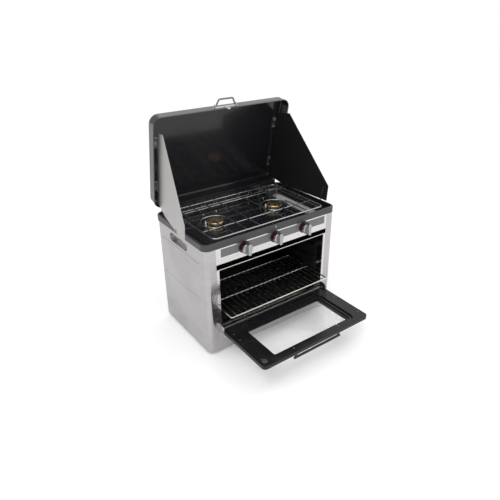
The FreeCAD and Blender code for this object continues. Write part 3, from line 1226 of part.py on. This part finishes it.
def latch():
    """Springy tab with a round end that snaps over the stud on the rim."""
    pin = latch_pin()
    y1 = HOB_FRONT - SLIP
    y0 = y1 - LATCH_T
    z_end = latch_end()
    strap = block(-LATCH_W / 2, LATCH_W / 2, y0, y1, z_end, pin.z)
    disc = cylinder(V(0, y0, z_end), Y_AXIS, LATCH_W / 2, LATCH_T)
    roll = cylinder(V(-LATCH_W / 2, pin.y, pin.z), X_AXIS, LATCH_ROLL_R, LATCH_W)
    bore = cylinder(V(-LATCH_W, pin.y, pin.z), X_AXIS, LATCH_PIN_R + PIN_FIT, 2 * LATCH_W)
    hole = cylinder(V(0, y0 - 1, z_end), Y_AXIS, STUD_R + HOLE_FIT, LATCH_T + 2)
    return opened(fuse([strap, disc, roll]).cut([bore, hole]))


def latch_end():
    """Height of the latch's round end and of the stud, lid closed."""
    return LID_SEAT - LATCH_REACH + LATCH_W / 2


def latch_pin():
    return V(0, HOB_FRONT - SLIP - LATCH_ROLL_R, LID_SEAT + LATCH_PIVOT)


def latch_hinge():
    """Two ears and a pin that carry the latch on the lid's lip."""
    shapes = []
    pin = latch_pin()
    ear = LATCH_ROLL_R
    for side in (-1, 1):
        x0 = side * (LATCH_W / 2 + SLIP) - (LATCH_EAR_T if side < 0 else 0)
        shapes.append(block(x0, x0 + LATCH_EAR_T, pin.y, HOB_FRONT + LID_LIP, pin.z - ear, pin.z + ear))
        shapes.append(cylinder(V(x0, pin.y, pin.z), X_AXIS, ear, LATCH_EAR_T))
    reach = LATCH_W / 2 + SLIP + LATCH_EAR_T
    shapes.append(cylinder(V(-reach, pin.y, pin.z), X_AXIS, LATCH_PIN_R, 2 * reach))
    return opened(fuse(shapes).cut(lid_block(0, 0, LID_LIP_H, LID_CORNER_R)))


def latch_stud():
    """Stud on the rim's front face for the latch."""
    return cylinder(V(0, HOB_FRONT, latch_end()), -Y_AXIS, STUD_R, STUD_L)


# ---------------------------------------------------------------- output
def main():
    os.makedirs("parts", exist_ok=True)
    pairs = {"side_panel": side_panel_left, "grip_cup": grip_cup_left}
    for name, make in pairs.items():
        shape = make()
        export(name + "_left", shape)
        export(name + "_right", mirrored(shape))
    singles = (rear_panel, base_pan, feet, lower_front_panel, front_frame, control_panel, oven_liner,
               shelf_rails, oven_burner, burner_stands, oven_baffle, oven_rack, door_outer_shell,
               door_inner_panel, door_glass, glass_seal, door_handle, door_screws, door_catch, door_hinge_pins,
               hob_rim, hob_tray, drip_rings, electrodes, thermocouples, pan_grid, gas_manifold, gas_inlet,
               knob_bezels, lid_shell, bail_plate, bail_handle, latch, latch_hinge, latch_stud)
    for make in singles:
        export(make.__name__, make())
    for name, sign in (("left", -1), ("right", 1)):
        export("hinge_tab_" + name, hinge_tab(sign))
        export("burner_base_" + name, burner_base(sign * BURNER_X))
        export("burner_cap_" + name, burner_cap(sign * BURNER_X))
        export("wind_shield_" + name, wind_shield(name))
        export("shield_brackets_" + name, shield_brackets(name))
    export("lid_hinge_bases", Part.makeCompound([lid_hinge_fixed(-1), lid_hinge_fixed(1)] + lid_hinge_pins()))
    export("lid_hinge_leaves", Part.makeCompound([lid_hinge_moving(-1), lid_hinge_moving(1)]))
    export("venturi_pipes", Part.makeCompound([venturi(-BURNER_X), venturi(BURNER_X)]))
    export("gas_valves", Part.makeCompound([valve_body(x) for x in KNOB_X]))
    for name, x in zip(("left", "middle", "right"), KNOB_X):
        export("spindle_" + name, spindle(x))
        export("knob_" + name, knob(x))


main()
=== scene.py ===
"""Looks of the two-burner camping stove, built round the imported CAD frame. Metres, +Z up, front at -Y."""

import math

import bpy
from mathutils import Euler, Matrix, Vector


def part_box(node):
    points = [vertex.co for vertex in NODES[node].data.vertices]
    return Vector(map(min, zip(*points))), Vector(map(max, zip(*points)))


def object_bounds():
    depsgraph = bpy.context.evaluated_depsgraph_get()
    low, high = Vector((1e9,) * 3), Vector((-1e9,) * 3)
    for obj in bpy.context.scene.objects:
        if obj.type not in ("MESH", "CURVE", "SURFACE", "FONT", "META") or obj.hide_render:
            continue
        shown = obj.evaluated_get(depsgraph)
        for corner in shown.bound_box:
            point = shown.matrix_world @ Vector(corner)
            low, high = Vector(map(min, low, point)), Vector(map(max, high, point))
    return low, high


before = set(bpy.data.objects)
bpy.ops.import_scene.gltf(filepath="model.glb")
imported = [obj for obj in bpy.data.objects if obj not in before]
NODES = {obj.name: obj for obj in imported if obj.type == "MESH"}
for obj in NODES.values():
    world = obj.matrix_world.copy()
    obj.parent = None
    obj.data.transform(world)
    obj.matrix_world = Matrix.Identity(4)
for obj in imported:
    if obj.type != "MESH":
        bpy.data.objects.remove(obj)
CAD_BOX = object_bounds()
SCENE = bpy.context.scene


# ---------------------------------------------------------------- camera, light and floor
CAMERA_SENSOR = 36.0
CAMERA_PLACE = (-0.8995, -1.2815, 1.0670)
CAMERA_PITCH = 27.12
CAMERA_YAW = -35.76
CAMERA_ROLL = -0.48
CAMERA_LENS = 34.18
CAMERA_SHIFT = (-0.0076, -0.0070)
CAMERA_CLIP = (0.01, 50.0)

WHITE = (1, 1, 1, 1)
WORLD_LIGHT = 0.92          # strength that lights the object
WORLD_SEEN = 1.0            # strength that camera, mirror and glass rays see
# name, place, aim, size, power
LAMPS = (("key", (-1.4, -1.2, 2.4), (0, 0, 0.35), (1.2, 1.2), 16),
         ("rim", (1.6, -0.4, 1.9), (0, 0, 0.4), (0.8, 1.2), 7))

FLOOR_HALF = 12.0
FLOOR_COLOUR = (0.985, 0.985, 0.985, 1)
FLOOR_ROUGHNESS = 0.9
FLOOR_SHEEN = 0.1
FLOOR_LIFT = 0.09           # added for camera, mirror and glass rays only, so the shadow stays


def make_camera():
    """Camera fitted to the object's own edges."""
    data = bpy.data.cameras.new("camera")
    data.sensor_width = CAMERA_SENSOR
    data.lens = CAMERA_LENS
    data.shift_x, data.shift_y = CAMERA_SHIFT
    data.clip_start, data.clip_end = CAMERA_CLIP
    camera = bpy.data.objects.new("camera", data)
    turn = Euler((math.radians(90 - CAMERA_PITCH), 0, math.radians(CAMERA_YAW))).to_matrix()
    camera.rotation_euler = (turn @ Matrix.Rotation(math.radians(CAMERA_ROLL), 3, "Z")).to_euler()
    camera.location = CAMERA_PLACE
    SCENE.collection.objects.link(camera)
    SCENE.camera = camera


def area_light(name, place, aim, size, power):
    data = bpy.data.lights.new(name, "AREA")
    data.shape = "RECTANGLE"
    data.size, data.size_y = size
    data.energy = power
    lamp = bpy.data.objects.new(name, data)
    lamp.location = place
    lamp.rotation_euler = (Vector(aim) - Vector(place)).to_track_quat("-Z", "Y").to_euler()
    SCENE.collection.objects.link(lamp)


def seen_directly(tree):
    """1 for camera, mirror and glass rays, 0 for the rays that light the object."""
    path = tree.nodes.new("ShaderNodeLightPath")
    seen = path.outputs["Is Camera Ray"]
    for other in ("Is Glossy Ray", "Is Transmission Ray"):
        both = tree.nodes.new("ShaderNodeMath")
        both.operation = "MAXIMUM"
        tree.links.new(seen, both.inputs[0])
        tree.links.new(path.outputs[other], both.inputs[1])
        seen = both.outputs[0]
    return seen


def make_light():
    """Soft studio light: a pale world, which camera, mirror and glass rays see as white, and two large lamps."""
    world = bpy.data.worlds.new("studio")
    world.use_nodes = True
    tree = world.node_tree
    tree.nodes.clear()
    seen = seen_directly(tree)
    mix = tree.nodes.new("ShaderNodeMixShader")
    tree.links.new(seen, mix.inputs["Fac"])
    for slot, strength in ((1, WORLD_LIGHT), (2, WORLD_SEEN)):
        backdrop = tree.nodes.new("ShaderNodeBackground")
        backdrop.inputs["Color"].default_value = WHITE
        backdrop.inputs["Strength"].default_value = strength
        tree.links.new(backdrop.outputs[0], mix.inputs[slot])
    out = tree.nodes.new("ShaderNodeOutputWorld")
    tree.links.new(mix.outputs[0], out.inputs["Surface"])
    SCENE.world = world
    for lamp in LAMPS:
        area_light(*lamp)


def make_floor():
    """Pale floor under the object, lifted to white for the rays that see it, with the object's shadow kept."""
    low = CAD_BOX[0].z
    mesh = bpy.data.meshes.new("floor")
    half = FLOOR_HALF
    corners = [(-half, -half, low), (half, -half, low), (half, half, low), (-half, half, low)]
    mesh.from_pydata(corners, [], [(0, 1, 2, 3)])
    floor = bpy.data.objects.new("floor", mesh)
    SCENE.collection.objects.link(floor)
    material = bpy.data.materials.new("floor")
    material.use_nodes = True
    tree = material.node_tree
    shader = tree.nodes["Principled BSDF"]
    shader.inputs["Base Color"].default_value = FLOOR_COLOUR
    shader.inputs["Roughness"].default_value = FLOOR_ROUGHNESS
    shader.inputs["Specular IOR Level"].default_value = FLOOR_SHEEN
    pale = tree.nodes.new("ShaderNodeEmission")
    pale.inputs["Strength"].default_value = FLOOR_LIFT
    only_seen = tree.nodes.new("ShaderNodeMixShader")
    tree.links.new(seen_directly(tree), only_seen.inputs["Fac"])
    tree.links.new(pale.outputs[0], only_seen.inputs[2])
    both = tree.nodes.new("ShaderNodeAddShader")
    tree.links.new(shader.outputs[0], both.inputs[0])
    tree.links.new(only_seen.outputs[0], both.inputs[1])
    tree.links.new(both.outputs[0], tree.nodes["Material Output"].inputs["Surface"])
    mesh.materials.append(material)


# ---------------------------------------------------------------- materials
SIDE_GRAIN = (3, 3, 700)    # noise stretched into lines that run level
LID_OPEN = 78.7             # degrees from closed, as in the CAD
LID_PIN = (0.185, 0.4155)   # lid's hinge line, Y and Z
LID_REACH = 0.343           # free end of the lid, from the hinge line
LIP = 0.0031                # sheet and turned edge of the lid
FINE_EDGE = 0.0003          # width over which one coat of the lid gives way to the other
PEEL_SCALE = 220            # orange peel of baked enamel
SPECK_SCALE = 900
SPECK_CUT = (0.68, 0.74)    # only the tops of the noise become specks
METAL_GRAIN = 0.0002        # bump distance of brushed and plated metal
ENAMEL_GRAIN = 0.0003       # bump distance of enamel
ENAMEL_EDGE = 0.0012        # radius with which enamelled edges are shaded
DOOR_EDGE = 0.0014
BEVEL_SAMPLES = 4
PLASTIC_GRAIN = 500
MASK_EDGE = 0.0004          # half the soft edge of a printed mark
CORNER = (0.016, 0.012)     # where the polished front corner of a side panel starts and is full, from its front
BAND = {"left": 0.018, "right": 0.009, "below": 0.012, "top": 0.005}  # printed band, from the panel and the knobs
MARK = {"left": 0.009, "right": 0.004, "low": 0.003, "high": 0.0012}  # red mark, from each knob's lower left
SHIELD_STEEL = (0.40, 0.385, 0.375)
SHIELD_BLACK = (0.02, 0.02, 0.021)
GLASS_IOR = 1.25
GLASS_ALPHA = 0.18
KNOBS = ("knob_left", "knob_middle", "knob_right")


class Finish:
    """A procedural material: a principled shader whose colour, roughness and bump come from small textures."""

    def __init__(self, name, colour, roughness, metallic=0.0):
        self.material = bpy.data.materials.new(name)
        self.material.use_nodes = True
        self.tree = self.material.node_tree
        self.shader = self.tree.nodes["Principled BSDF"]
        self.shader.inputs["Metallic"].default_value = metallic
        self.place = self.node("ShaderNodeTexCoord").outputs["Object"]
        self.colour = colour
        self.rough = roughness
        self.height = None
        self.rounded = None

    def node(self, kind, **settings):
        made = self.tree.nodes.new(kind)
        for key, value in settings.items():
            setattr(made, key, value)
        return made

    def feed(self, socket, source):
        """Gives a socket a number, a colour or another socket's output."""
        if isinstance(source, (int, float)):
            socket.default_value = source
        elif isinstance(source, tuple):
            socket.default_value = (*source, 1)
        else:
            self.tree.links.new(source, socket)

    def stretched(self, scale):
        """Object coordinates, scaled by axis."""
        mapping = self.node("ShaderNodeMapping")
        mapping.inputs["Scale"].default_value = scale
        self.tree.links.new(self.place, mapping.inputs["Vector"])
        return mapping.outputs[0]

    def noise(self, scale, detail, stretch=(1, 1, 1), distortion=0.0):
        made = self.node("ShaderNodeTexNoise")
        made.inputs["Scale"].default_value = scale
        made.inputs["Detail"].default_value = detail
        made.inputs["Distortion"].default_value = distortion
        self.tree.links.new(self.stretched(stretch), made.inputs["Vector"])
        return made.outputs["Fac"]

    def ramp(self, source, low, high, start=0.0, end=1.0):
        """Maps source from low..high to start..end, clamped."""
        made = self.node("ShaderNodeMapRange")
        made.inputs["From Min"].default_value = low
        made.inputs["From Max"].default_value = high
        made.inputs["To Min"].default_value = start
        made.inputs["To Max"].default_value = end
        self.tree.links.new(source, made.inputs["Value"])
        return made.outputs[0]

    def math(self, operation, a, b):
        made = self.node("ShaderNodeMath", operation=operation)
        self.feed(made.inputs[0], a)
        self.feed(made.inputs[1], b)
        return made.outputs[0]

    def axes(self):
        """Position on the object, as three outputs in metres."""
        split = self.node("ShaderNodeSeparateXYZ")
        self.tree.links.new(self.place, split.inputs[0])
        return split.outputs

    def between(self, source, low, high):
        """1 where the source lies between two values, with a short soft edge."""
        rise = self.ramp(source, low - MASK_EDGE, low + MASK_EDGE)
        fall = self.ramp(source, high + MASK_EDGE, high - MASK_EDGE)
        return self.math("MULTIPLY", rise, fall)

    def patch(self, x0, x1, z0, z1):
        """Mask of an upright rectangle on the front."""
        place = self.axes()
        return self.math("MULTIPLY", self.between(place["X"], x0, x1), self.between(place["Z"], z0, z1))

    def blend(self, mask, colour):
        """Mixes a colour in where the mask is 1."""
        made = self.node("ShaderNodeMix", data_type="RGBA")
        self.feed(made.inputs[0], mask)
        self.feed(made.inputs[6], self.colour)
        self.feed(made.inputs[7], colour)
        self.colour = made.outputs[2]

    def roughen(self, mask, amount):
        """Adds to the roughness where the mask is 1."""
        self.rough = self.math("ADD", self.rough, self.math("MULTIPLY", mask, amount))

    def raise_by(self, source, amount):
        """Adds to the bump's height."""
        part = self.math("MULTIPLY", source, amount)
        self.height = part if self.height is None else self.math("ADD", self.height, part)

    def soft_edges(self, radius):
        """Shades sharp edges as slightly rounded, so that the lights catch them."""
        bevel = self.node("ShaderNodeBevel", samples=BEVEL_SAMPLES)
        bevel.inputs["Radius"].default_value = radius
        self.rounded = bevel.outputs[0]

    def done(self, bump=1.0, distance=0.0005):
        links = self.tree.links
        self.feed(self.shader.inputs["Base Color"], self.colour)
        self.feed(self.shader.inputs["Roughness"], self.rough)
        if self.height is not None:
            node = self.node("ShaderNodeBump")
            node.inputs["Strength"].default_value = bump
            node.inputs["Distance"].default_value = distance
            links.new(self.height, node.inputs["Height"])
            if self.rounded is not None:
                links.new(self.rounded, node.inputs["Normal"])
            links.new(node.outputs[0], self.shader.inputs["Normal"])
        return self.material


def stainless(name, colour, roughness):
    """Brushed sheet: fine lines along the grain, faint wide smudges."""
    finish = Finish(name, colour, roughness, 1.0)
    lines = finish.noise(1.0, 5, SIDE_GRAIN)
    finish.blend(finish.ramp(lines, 0.35, 0.7, 0, 0.35), tuple(c * 0.82 for c in colour))
    finish.roughen(finish.ramp(lines, 0.3, 0.7), 0.10)
    smear = finish.noise(7, 4, distortion=1.2)
    finish.roughen(finish.ramp(smear, 0.45, 0.7), 0.05)
    finish.blend(finish.ramp(smear, 0.5, 0.8, 0, 0.2), tuple(c * 0.9 for c in colour))
    finish.raise_by(lines, 0.12)
    return finish.done(0.35, METAL_GRAIN)


def enamel(name, colour, roughness, speck=(0.25, 0.25, 0.26), orange_peel=0.15, coat=0.0, sheen=0.5,
           round_edges=0.0):
    """Baked enamel: slight orange peel, tiny pale specks and a change of gloss from place to place."""
    finish = Finish(name, colour, roughness)
    finish.shader.inputs["Specular IOR Level"].default_value = sheen
    if round_edges:
        finish.soft_edges(round_edges)
    peel = finish.noise(PEEL_SCALE, 2)
    finish.raise_by(peel, orange_peel)
    specks = finish.ramp(finish.noise(SPECK_SCALE, 2), *SPECK_CUT, 0, 0.35)
    finish.blend(specks, speck)
    wide = finish.noise(9, 4, distortion=0.6)
    finish.roughen(finish.ramp(wide, 0.35, 0.7), 0.10)
    finish.blend(finish.ramp(wide, 0.4, 0.8, 0, 0.3), tuple(c * 1.5 + 0.004 for c in colour))
    finish.shader.inputs["Coat Weight"].default_value = coat
    finish.shader.inputs["Coat Roughness"].default_value = 0.08
    return finish.done(0.25, ENAMEL_GRAIN)


def plated(name, colour, roughness, tarnish=(0.25, 0.22, 0.18)):
    """Plated or cast bare metal with light tarnish."""
    finish = Finish(name, colour, roughness, 1.0)
    patches = finish.noise(60, 4, distortion=0.5)
    finish.blend(finish.ramp(patches, 0.5, 0.8, 0, 0.35), tarnish)
    finish.roughen(finish.ramp(patches, 0.35, 0.7), 0.12)
    finish.raise_by(finish.noise(800, 2), 0.2)
    return finish.done(0.2, METAL_GRAIN)


def plastic(name, colour, roughness):
    """Moulded plastic, rubber or ceramic with a fine grain."""
    finish = Finish(name, colour, roughness)
    fine = finish.noise(PLASTIC_GRAIN, 2)
    finish.raise_by(fine, 0.2)
    finish.roughen(finish.ramp(finish.noise(30, 3), 0.3, 0.7), 0.08)
    finish.blend(finish.ramp(fine, 0.5, 0.8, 0, 0.25), tuple(c * 0.75 for c in colour))
    return finish.done(0.25, METAL_GRAIN)


def glass(name):
    """Clear pane: mostly let through straight, with the glossy face of glass and faint smears."""
    finish = Finish(name, (0.96, 0.97, 0.965), 0.01)
    finish.shader.inputs["Transmission Weight"].default_value = 1.0
    finish.shader.inputs["IOR"].default_value = GLASS_IOR
    finish.shader.inputs["Alpha"].default_value = GLASS_ALPHA
    smear = finish.ramp(finish.noise(14, 4, distortion=1.5), 0.55, 0.8)
    finish.roughen(smear, 0.03)
    return finish.done()


def two_faced(name, outside, inside, sign):
    """Sheet whose outer face has one colour and inner face another; sign is the outer face's side in X."""
    finish = Finish(name, outside, 0.42, 0.55)
    normal = finish.node("ShaderNodeTexCoord").outputs["Normal"]
    split = finish.node("ShaderNodeSeparateXYZ")
    finish.tree.links.new(normal, split.inputs[0])
    mask = finish.ramp(split.outputs["X"], 0.05 * sign, -0.05 * sign)
    fine = finish.noise(260, 3)
    finish.blend(finish.ramp(fine, 0.4, 0.8, 0, 0.2), tuple(c * 0.8 for c in outside))
    finish.blend(mask, inside)
    finish.roughen(finish.ramp(finish.noise(12, 3), 0.3, 0.7), 0.1)
    finish.raise_by(fine, 0.2)
    return finish.done(0.2, METAL_GRAIN)


def dress(nodes, material):
    """Gives CAD nodes their material."""
    for node in nodes:
        mesh = NODES[node].data
        mesh.materials.clear()
        mesh.materials.append(material)


def lid_enamel():
    """Lid: deep black inside, and grey on the outer faces and the turned lip: an outer coat, which on the lip band
    is also a painted highlight line.
    """
    finish = Finish("lid_enamel", (0.011, 0.011, 0.013), 0.17)
    finish.raise_by(finish.noise(PEEL_SCALE, 2), 0.2)
    x, y, z = finish.axes()
    rise = math.radians(LID_OPEN)
    along = finish.math("ADD", finish.math("MULTIPLY", finish.math("SUBTRACT", y, LID_PIN[0]), -math.cos(rise)),
                        finish.math("MULTIPLY", finish.math("SUBTRACT", z, LID_PIN[1]), math.sin(rise)))
    facing = finish.node("ShaderNodeSeparateXYZ")
    finish.tree.links.new(finish.node("ShaderNodeTexCoord").outputs["Normal"], facing.inputs[0])
    away = finish.math("ADD", finish.math("MULTIPLY", facing.outputs["Y"], math.sin(rise)),
                       finish.math("MULTIPLY", facing.outputs["Z"], math.cos(rise)))
    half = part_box("lid_shell")[1].x - LIP
    sides = finish.ramp(finish.math("ABSOLUTE", x, 0.0), half - FINE_EDGE, half)
    top = finish.ramp(along, LID_REACH - LIP - FINE_EDGE, LID_REACH - LIP)
    back = finish.ramp(away, 0.1, 0.4)
    outside = finish.math("MAXIMUM", finish.math("MAXIMUM", sides, top), back)
    # The grey on the lip band (sides and top) is partly the outer coat and partly a painted highlight line along the
    # lid's edges.
    finish.blend(outside, (0.095, 0.094, 0.098))
    finish.roughen(outside, 0.16)
    wide = finish.noise(7, 4, distortion=0.6)
    finish.roughen(finish.ramp(wide, 0.35, 0.7), 0.09)
    finish.blend(finish.ramp(finish.noise(SPECK_SCALE, 2), *SPECK_CUT, 0, 0.3), (0.20, 0.20, 0.21))
    finish.shader.inputs["Specular IOR Level"].default_value = 0.35
    finish.shader.inputs["Coat Weight"].default_value = 0.25
    finish.shader.inputs["Coat Roughness"].default_value = 0.06
    return finish.done(0.25, ENAMEL_GRAIN)


def door_skin():
    """Door's inner skin: glossy black enamel."""
    finish = Finish("door_skin", (0.010, 0.010, 0.011), 0.18)
    finish.shader.inputs["Specular IOR Level"].default_value = 0.2
    finish.shader.inputs["Coat Weight"].default_value = 0.15
    finish.shader.inputs["Coat Roughness"].default_value = 0.05
    finish.soft_edges(DOOR_EDGE)
    finish.raise_by(finish.noise(PEEL_SCALE, 2), 0.15)
    wide = finish.noise(11, 4, distortion=0.8)
    finish.roughen(finish.ramp(wide, 0.35, 0.7), 0.12)
    finish.blend(finish.ramp(wide, 0.5, 0.8, 0, 0.4), (0.025, 0.025, 0.027))
    return finish.done(0.3, ENAMEL_GRAIN)


def chrome_knob():
    """Dark chromed knob, slightly uneven so that its reflections break up."""
    finish = Finish("knob_chrome", (0.36, 0.36, 0.38), 0.12, 1.0)
    finish.roughen(finish.ramp(finish.noise(30, 3), 0.3, 0.7), 0.08)
    finish.raise_by(finish.noise(120, 2), 0.5)
    return finish.done(0.3, 0.0004)


def side_sheet():
    """Brushed side panels with a painted sheen (broad darker patches in the colour, standing in for soft
    reflections), patches of rougher gloss and more polished front corners.
    """
    finish = Finish("side_stainless", (0.47, 0.455, 0.46), 0.34, 1.0)
    lines = finish.noise(1.0, 5, SIDE_GRAIN)
    finish.blend(finish.ramp(lines, 0.35, 0.7, 0, 0.4), (0.36, 0.35, 0.355))
    finish.roughen(finish.ramp(lines, 0.3, 0.7), 0.10)
    gloss_patches_and_painted_sheen = finish.noise(5, 4, distortion=0.8)
    # Painted sheen: broad darker patches in the colour stand in for soft reflections; the roughness change with them
    # is real.
    finish.blend(finish.ramp(gloss_patches_and_painted_sheen, 0.42, 0.7, 0, 0.6), (0.33, 0.32, 0.335))
    finish.roughen(finish.ramp(gloss_patches_and_painted_sheen, 0.45, 0.7), 0.06)
    spots = finish.noise(40, 3)
    finish.blend(finish.ramp(spots, 0.6, 0.75, 0, 0.18), (0.30, 0.29, 0.29))
    y = finish.axes()["Y"]
    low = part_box("side_panel_left")[0]
    corner = finish.ramp(y, low.y + CORNER[0], low.y + CORNER[1])
    finish.roughen(corner, -0.2)
    finish.raise_by(lines, 0.12)
    return finish.done(0.35, METAL_GRAIN)


def printed_panel():
    """Stainless front with a grey printed band behind the knobs and a small red mark below each knob."""
    finish = Finish("panel_stainless", (0.66, 0.65, 0.64), 0.22, 1.0)
    lines = finish.noise(1.0, 5, SIDE_GRAIN)
    finish.blend(finish.ramp(lines, 0.35, 0.7, 0, 0.3), (0.52, 0.51, 0.50))
    finish.roughen(finish.ramp(lines, 0.3, 0.7), 0.12)
    low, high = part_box("control_panel")
    knob_low, knob_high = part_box("knob_left")
    middle = (knob_low.z + knob_high.z) / 2
    band = finish.patch(low.x + BAND["left"], high.x - BAND["right"], middle - BAND["below"], high.z - BAND["top"])
    finish.blend(band, (0.14, 0.14, 0.15))
    finish.roughen(band, 0.12)
    metal = finish.math("SUBTRACT", 1.0, band)
    for name in KNOBS:
        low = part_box(name)[0]
        mark = finish.patch(low.x - MARK["left"], low.x - MARK["right"], low.z - MARK["low"], low.z - MARK["high"])
        finish.blend(mark, (0.55, 0.02, 0.02))
        metal = finish.math("SUBTRACT", metal, mark)
    finish.feed(finish.shader.inputs["Metallic"], metal)
    finish.raise_by(lines, 0.1)
    return finish.done(0.3, METAL_GRAIN)


def mirror_frame():
    """Polished return round the oven mouth: near mirror, slightly wavy, with wiped streaks in its gloss."""
    finish = Finish("mirror_stainless", (0.62, 0.60, 0.58), 0.08, 1.0)
    streaks = finish.noise(1.0, 4, (300, 300, 4), 0.4)
    finish.roughen(finish.ramp(streaks, 0.3, 0.7), 0.12)
    finish.raise_by(finish.noise(14, 2), 0.6)
    return finish.done(0.25, 0.0015)


make_camera()
make_light()
make_floor()

dress(["side_panel_left", "side_panel_right"], side_sheet())
dress(["lower_front_panel", "rear_panel", "base_pan"],
      stainless("brushed_stainless", (0.50, 0.485, 0.49), 0.34))
dress(["control_panel"], printed_panel())
dress(["front_frame"], mirror_frame())
dress(["grip_cup_left", "grip_cup_right"], plated("grip_steel", (0.56, 0.55, 0.55), 0.28))
dress(["hob_rim"],
      enamel("rim_enamel", (0.048, 0.046, 0.049), 0.38, (0.22, 0.21, 0.22), 0.4, sheen=0.4, round_edges=ENAMEL_EDGE))
dress(["hob_tray"], enamel("hob_enamel", (0.012, 0.012, 0.016), 0.10, coat=0.6))
dress(["oven_liner", "shelf_rails", "oven_baffle"], enamel("oven_enamel", (0.010, 0.010, 0.010), 0.32))
dress(["lid_shell"], lid_enamel())
dress(["door_inner_panel"], door_skin())
dress(["door_outer_shell"],
      enamel("door_enamel", (0.009, 0.009, 0.010), 0.26, coat=0.08, sheen=0.2, round_edges=ENAMEL_EDGE))
dress(["door_handle", "hinge_tab_right"], enamel("black_fittings", (0.018, 0.018, 0.018), 0.35))
dress(["oven_rack", "drip_rings"], plated("nickel_wire", (0.62, 0.60, 0.57), 0.24))
dress(["pan_grid"], plated("grid_wire", (0.46, 0.46, 0.45), 0.24))
dress(["door_screws", "door_catch"], plated("dark_steel", (0.17, 0.165, 0.16), 0.28))
dress(["bail_handle"], plated("bail_wire", (0.20, 0.20, 0.20), 0.30))
dress(["bail_plate", "latch", "latch_hinge", "latch_stud", "lid_hinge_bases", "lid_hinge_leaves",
       "door_hinge_pins", "spindle_left", "spindle_middle", "spindle_right",
       "oven_burner", "burner_stands", "gas_manifold", "venturi_pipes", "hinge_tab_left"],
      plated("zinc_plate", (0.58, 0.57, 0.55), 0.30))
dress(["shield_brackets_left", "shield_brackets_right"], plated("bracket_steel", (0.36, 0.33, 0.30), 0.35))
dress(["burner_cap_left", "burner_cap_right", "gas_inlet", "gas_valves", "thermocouples"],
      plated("brass", (0.80, 0.60, 0.34), 0.26, (0.35, 0.22, 0.10)))
dress(["burner_base_left", "burner_base_right"], plated("cast_alloy", (0.50, 0.49, 0.47), 0.42))
dress(KNOBS, chrome_knob())
dress(["knob_bezels"], plastic("dark_red", (0.038, 0.007, 0.009), 0.25))
dress(["electrodes"], plastic("white_ceramic", (0.85, 0.84, 0.80), 0.25))
dress(["feet", "glass_seal"], plastic("black_rubber", (0.018, 0.018, 0.018), 0.7))
dress(["door_glass"], glass("window_glass"))
dress(["wind_shield_left"], two_faced("shield_left_finish", SHIELD_STEEL, SHIELD_BLACK, -1))
dress(["wind_shield_right"], two_faced("shield_right_finish", SHIELD_STEEL, SHIELD_BLACK, 1))

SCENE.view_settings.view_transform = "Standard"
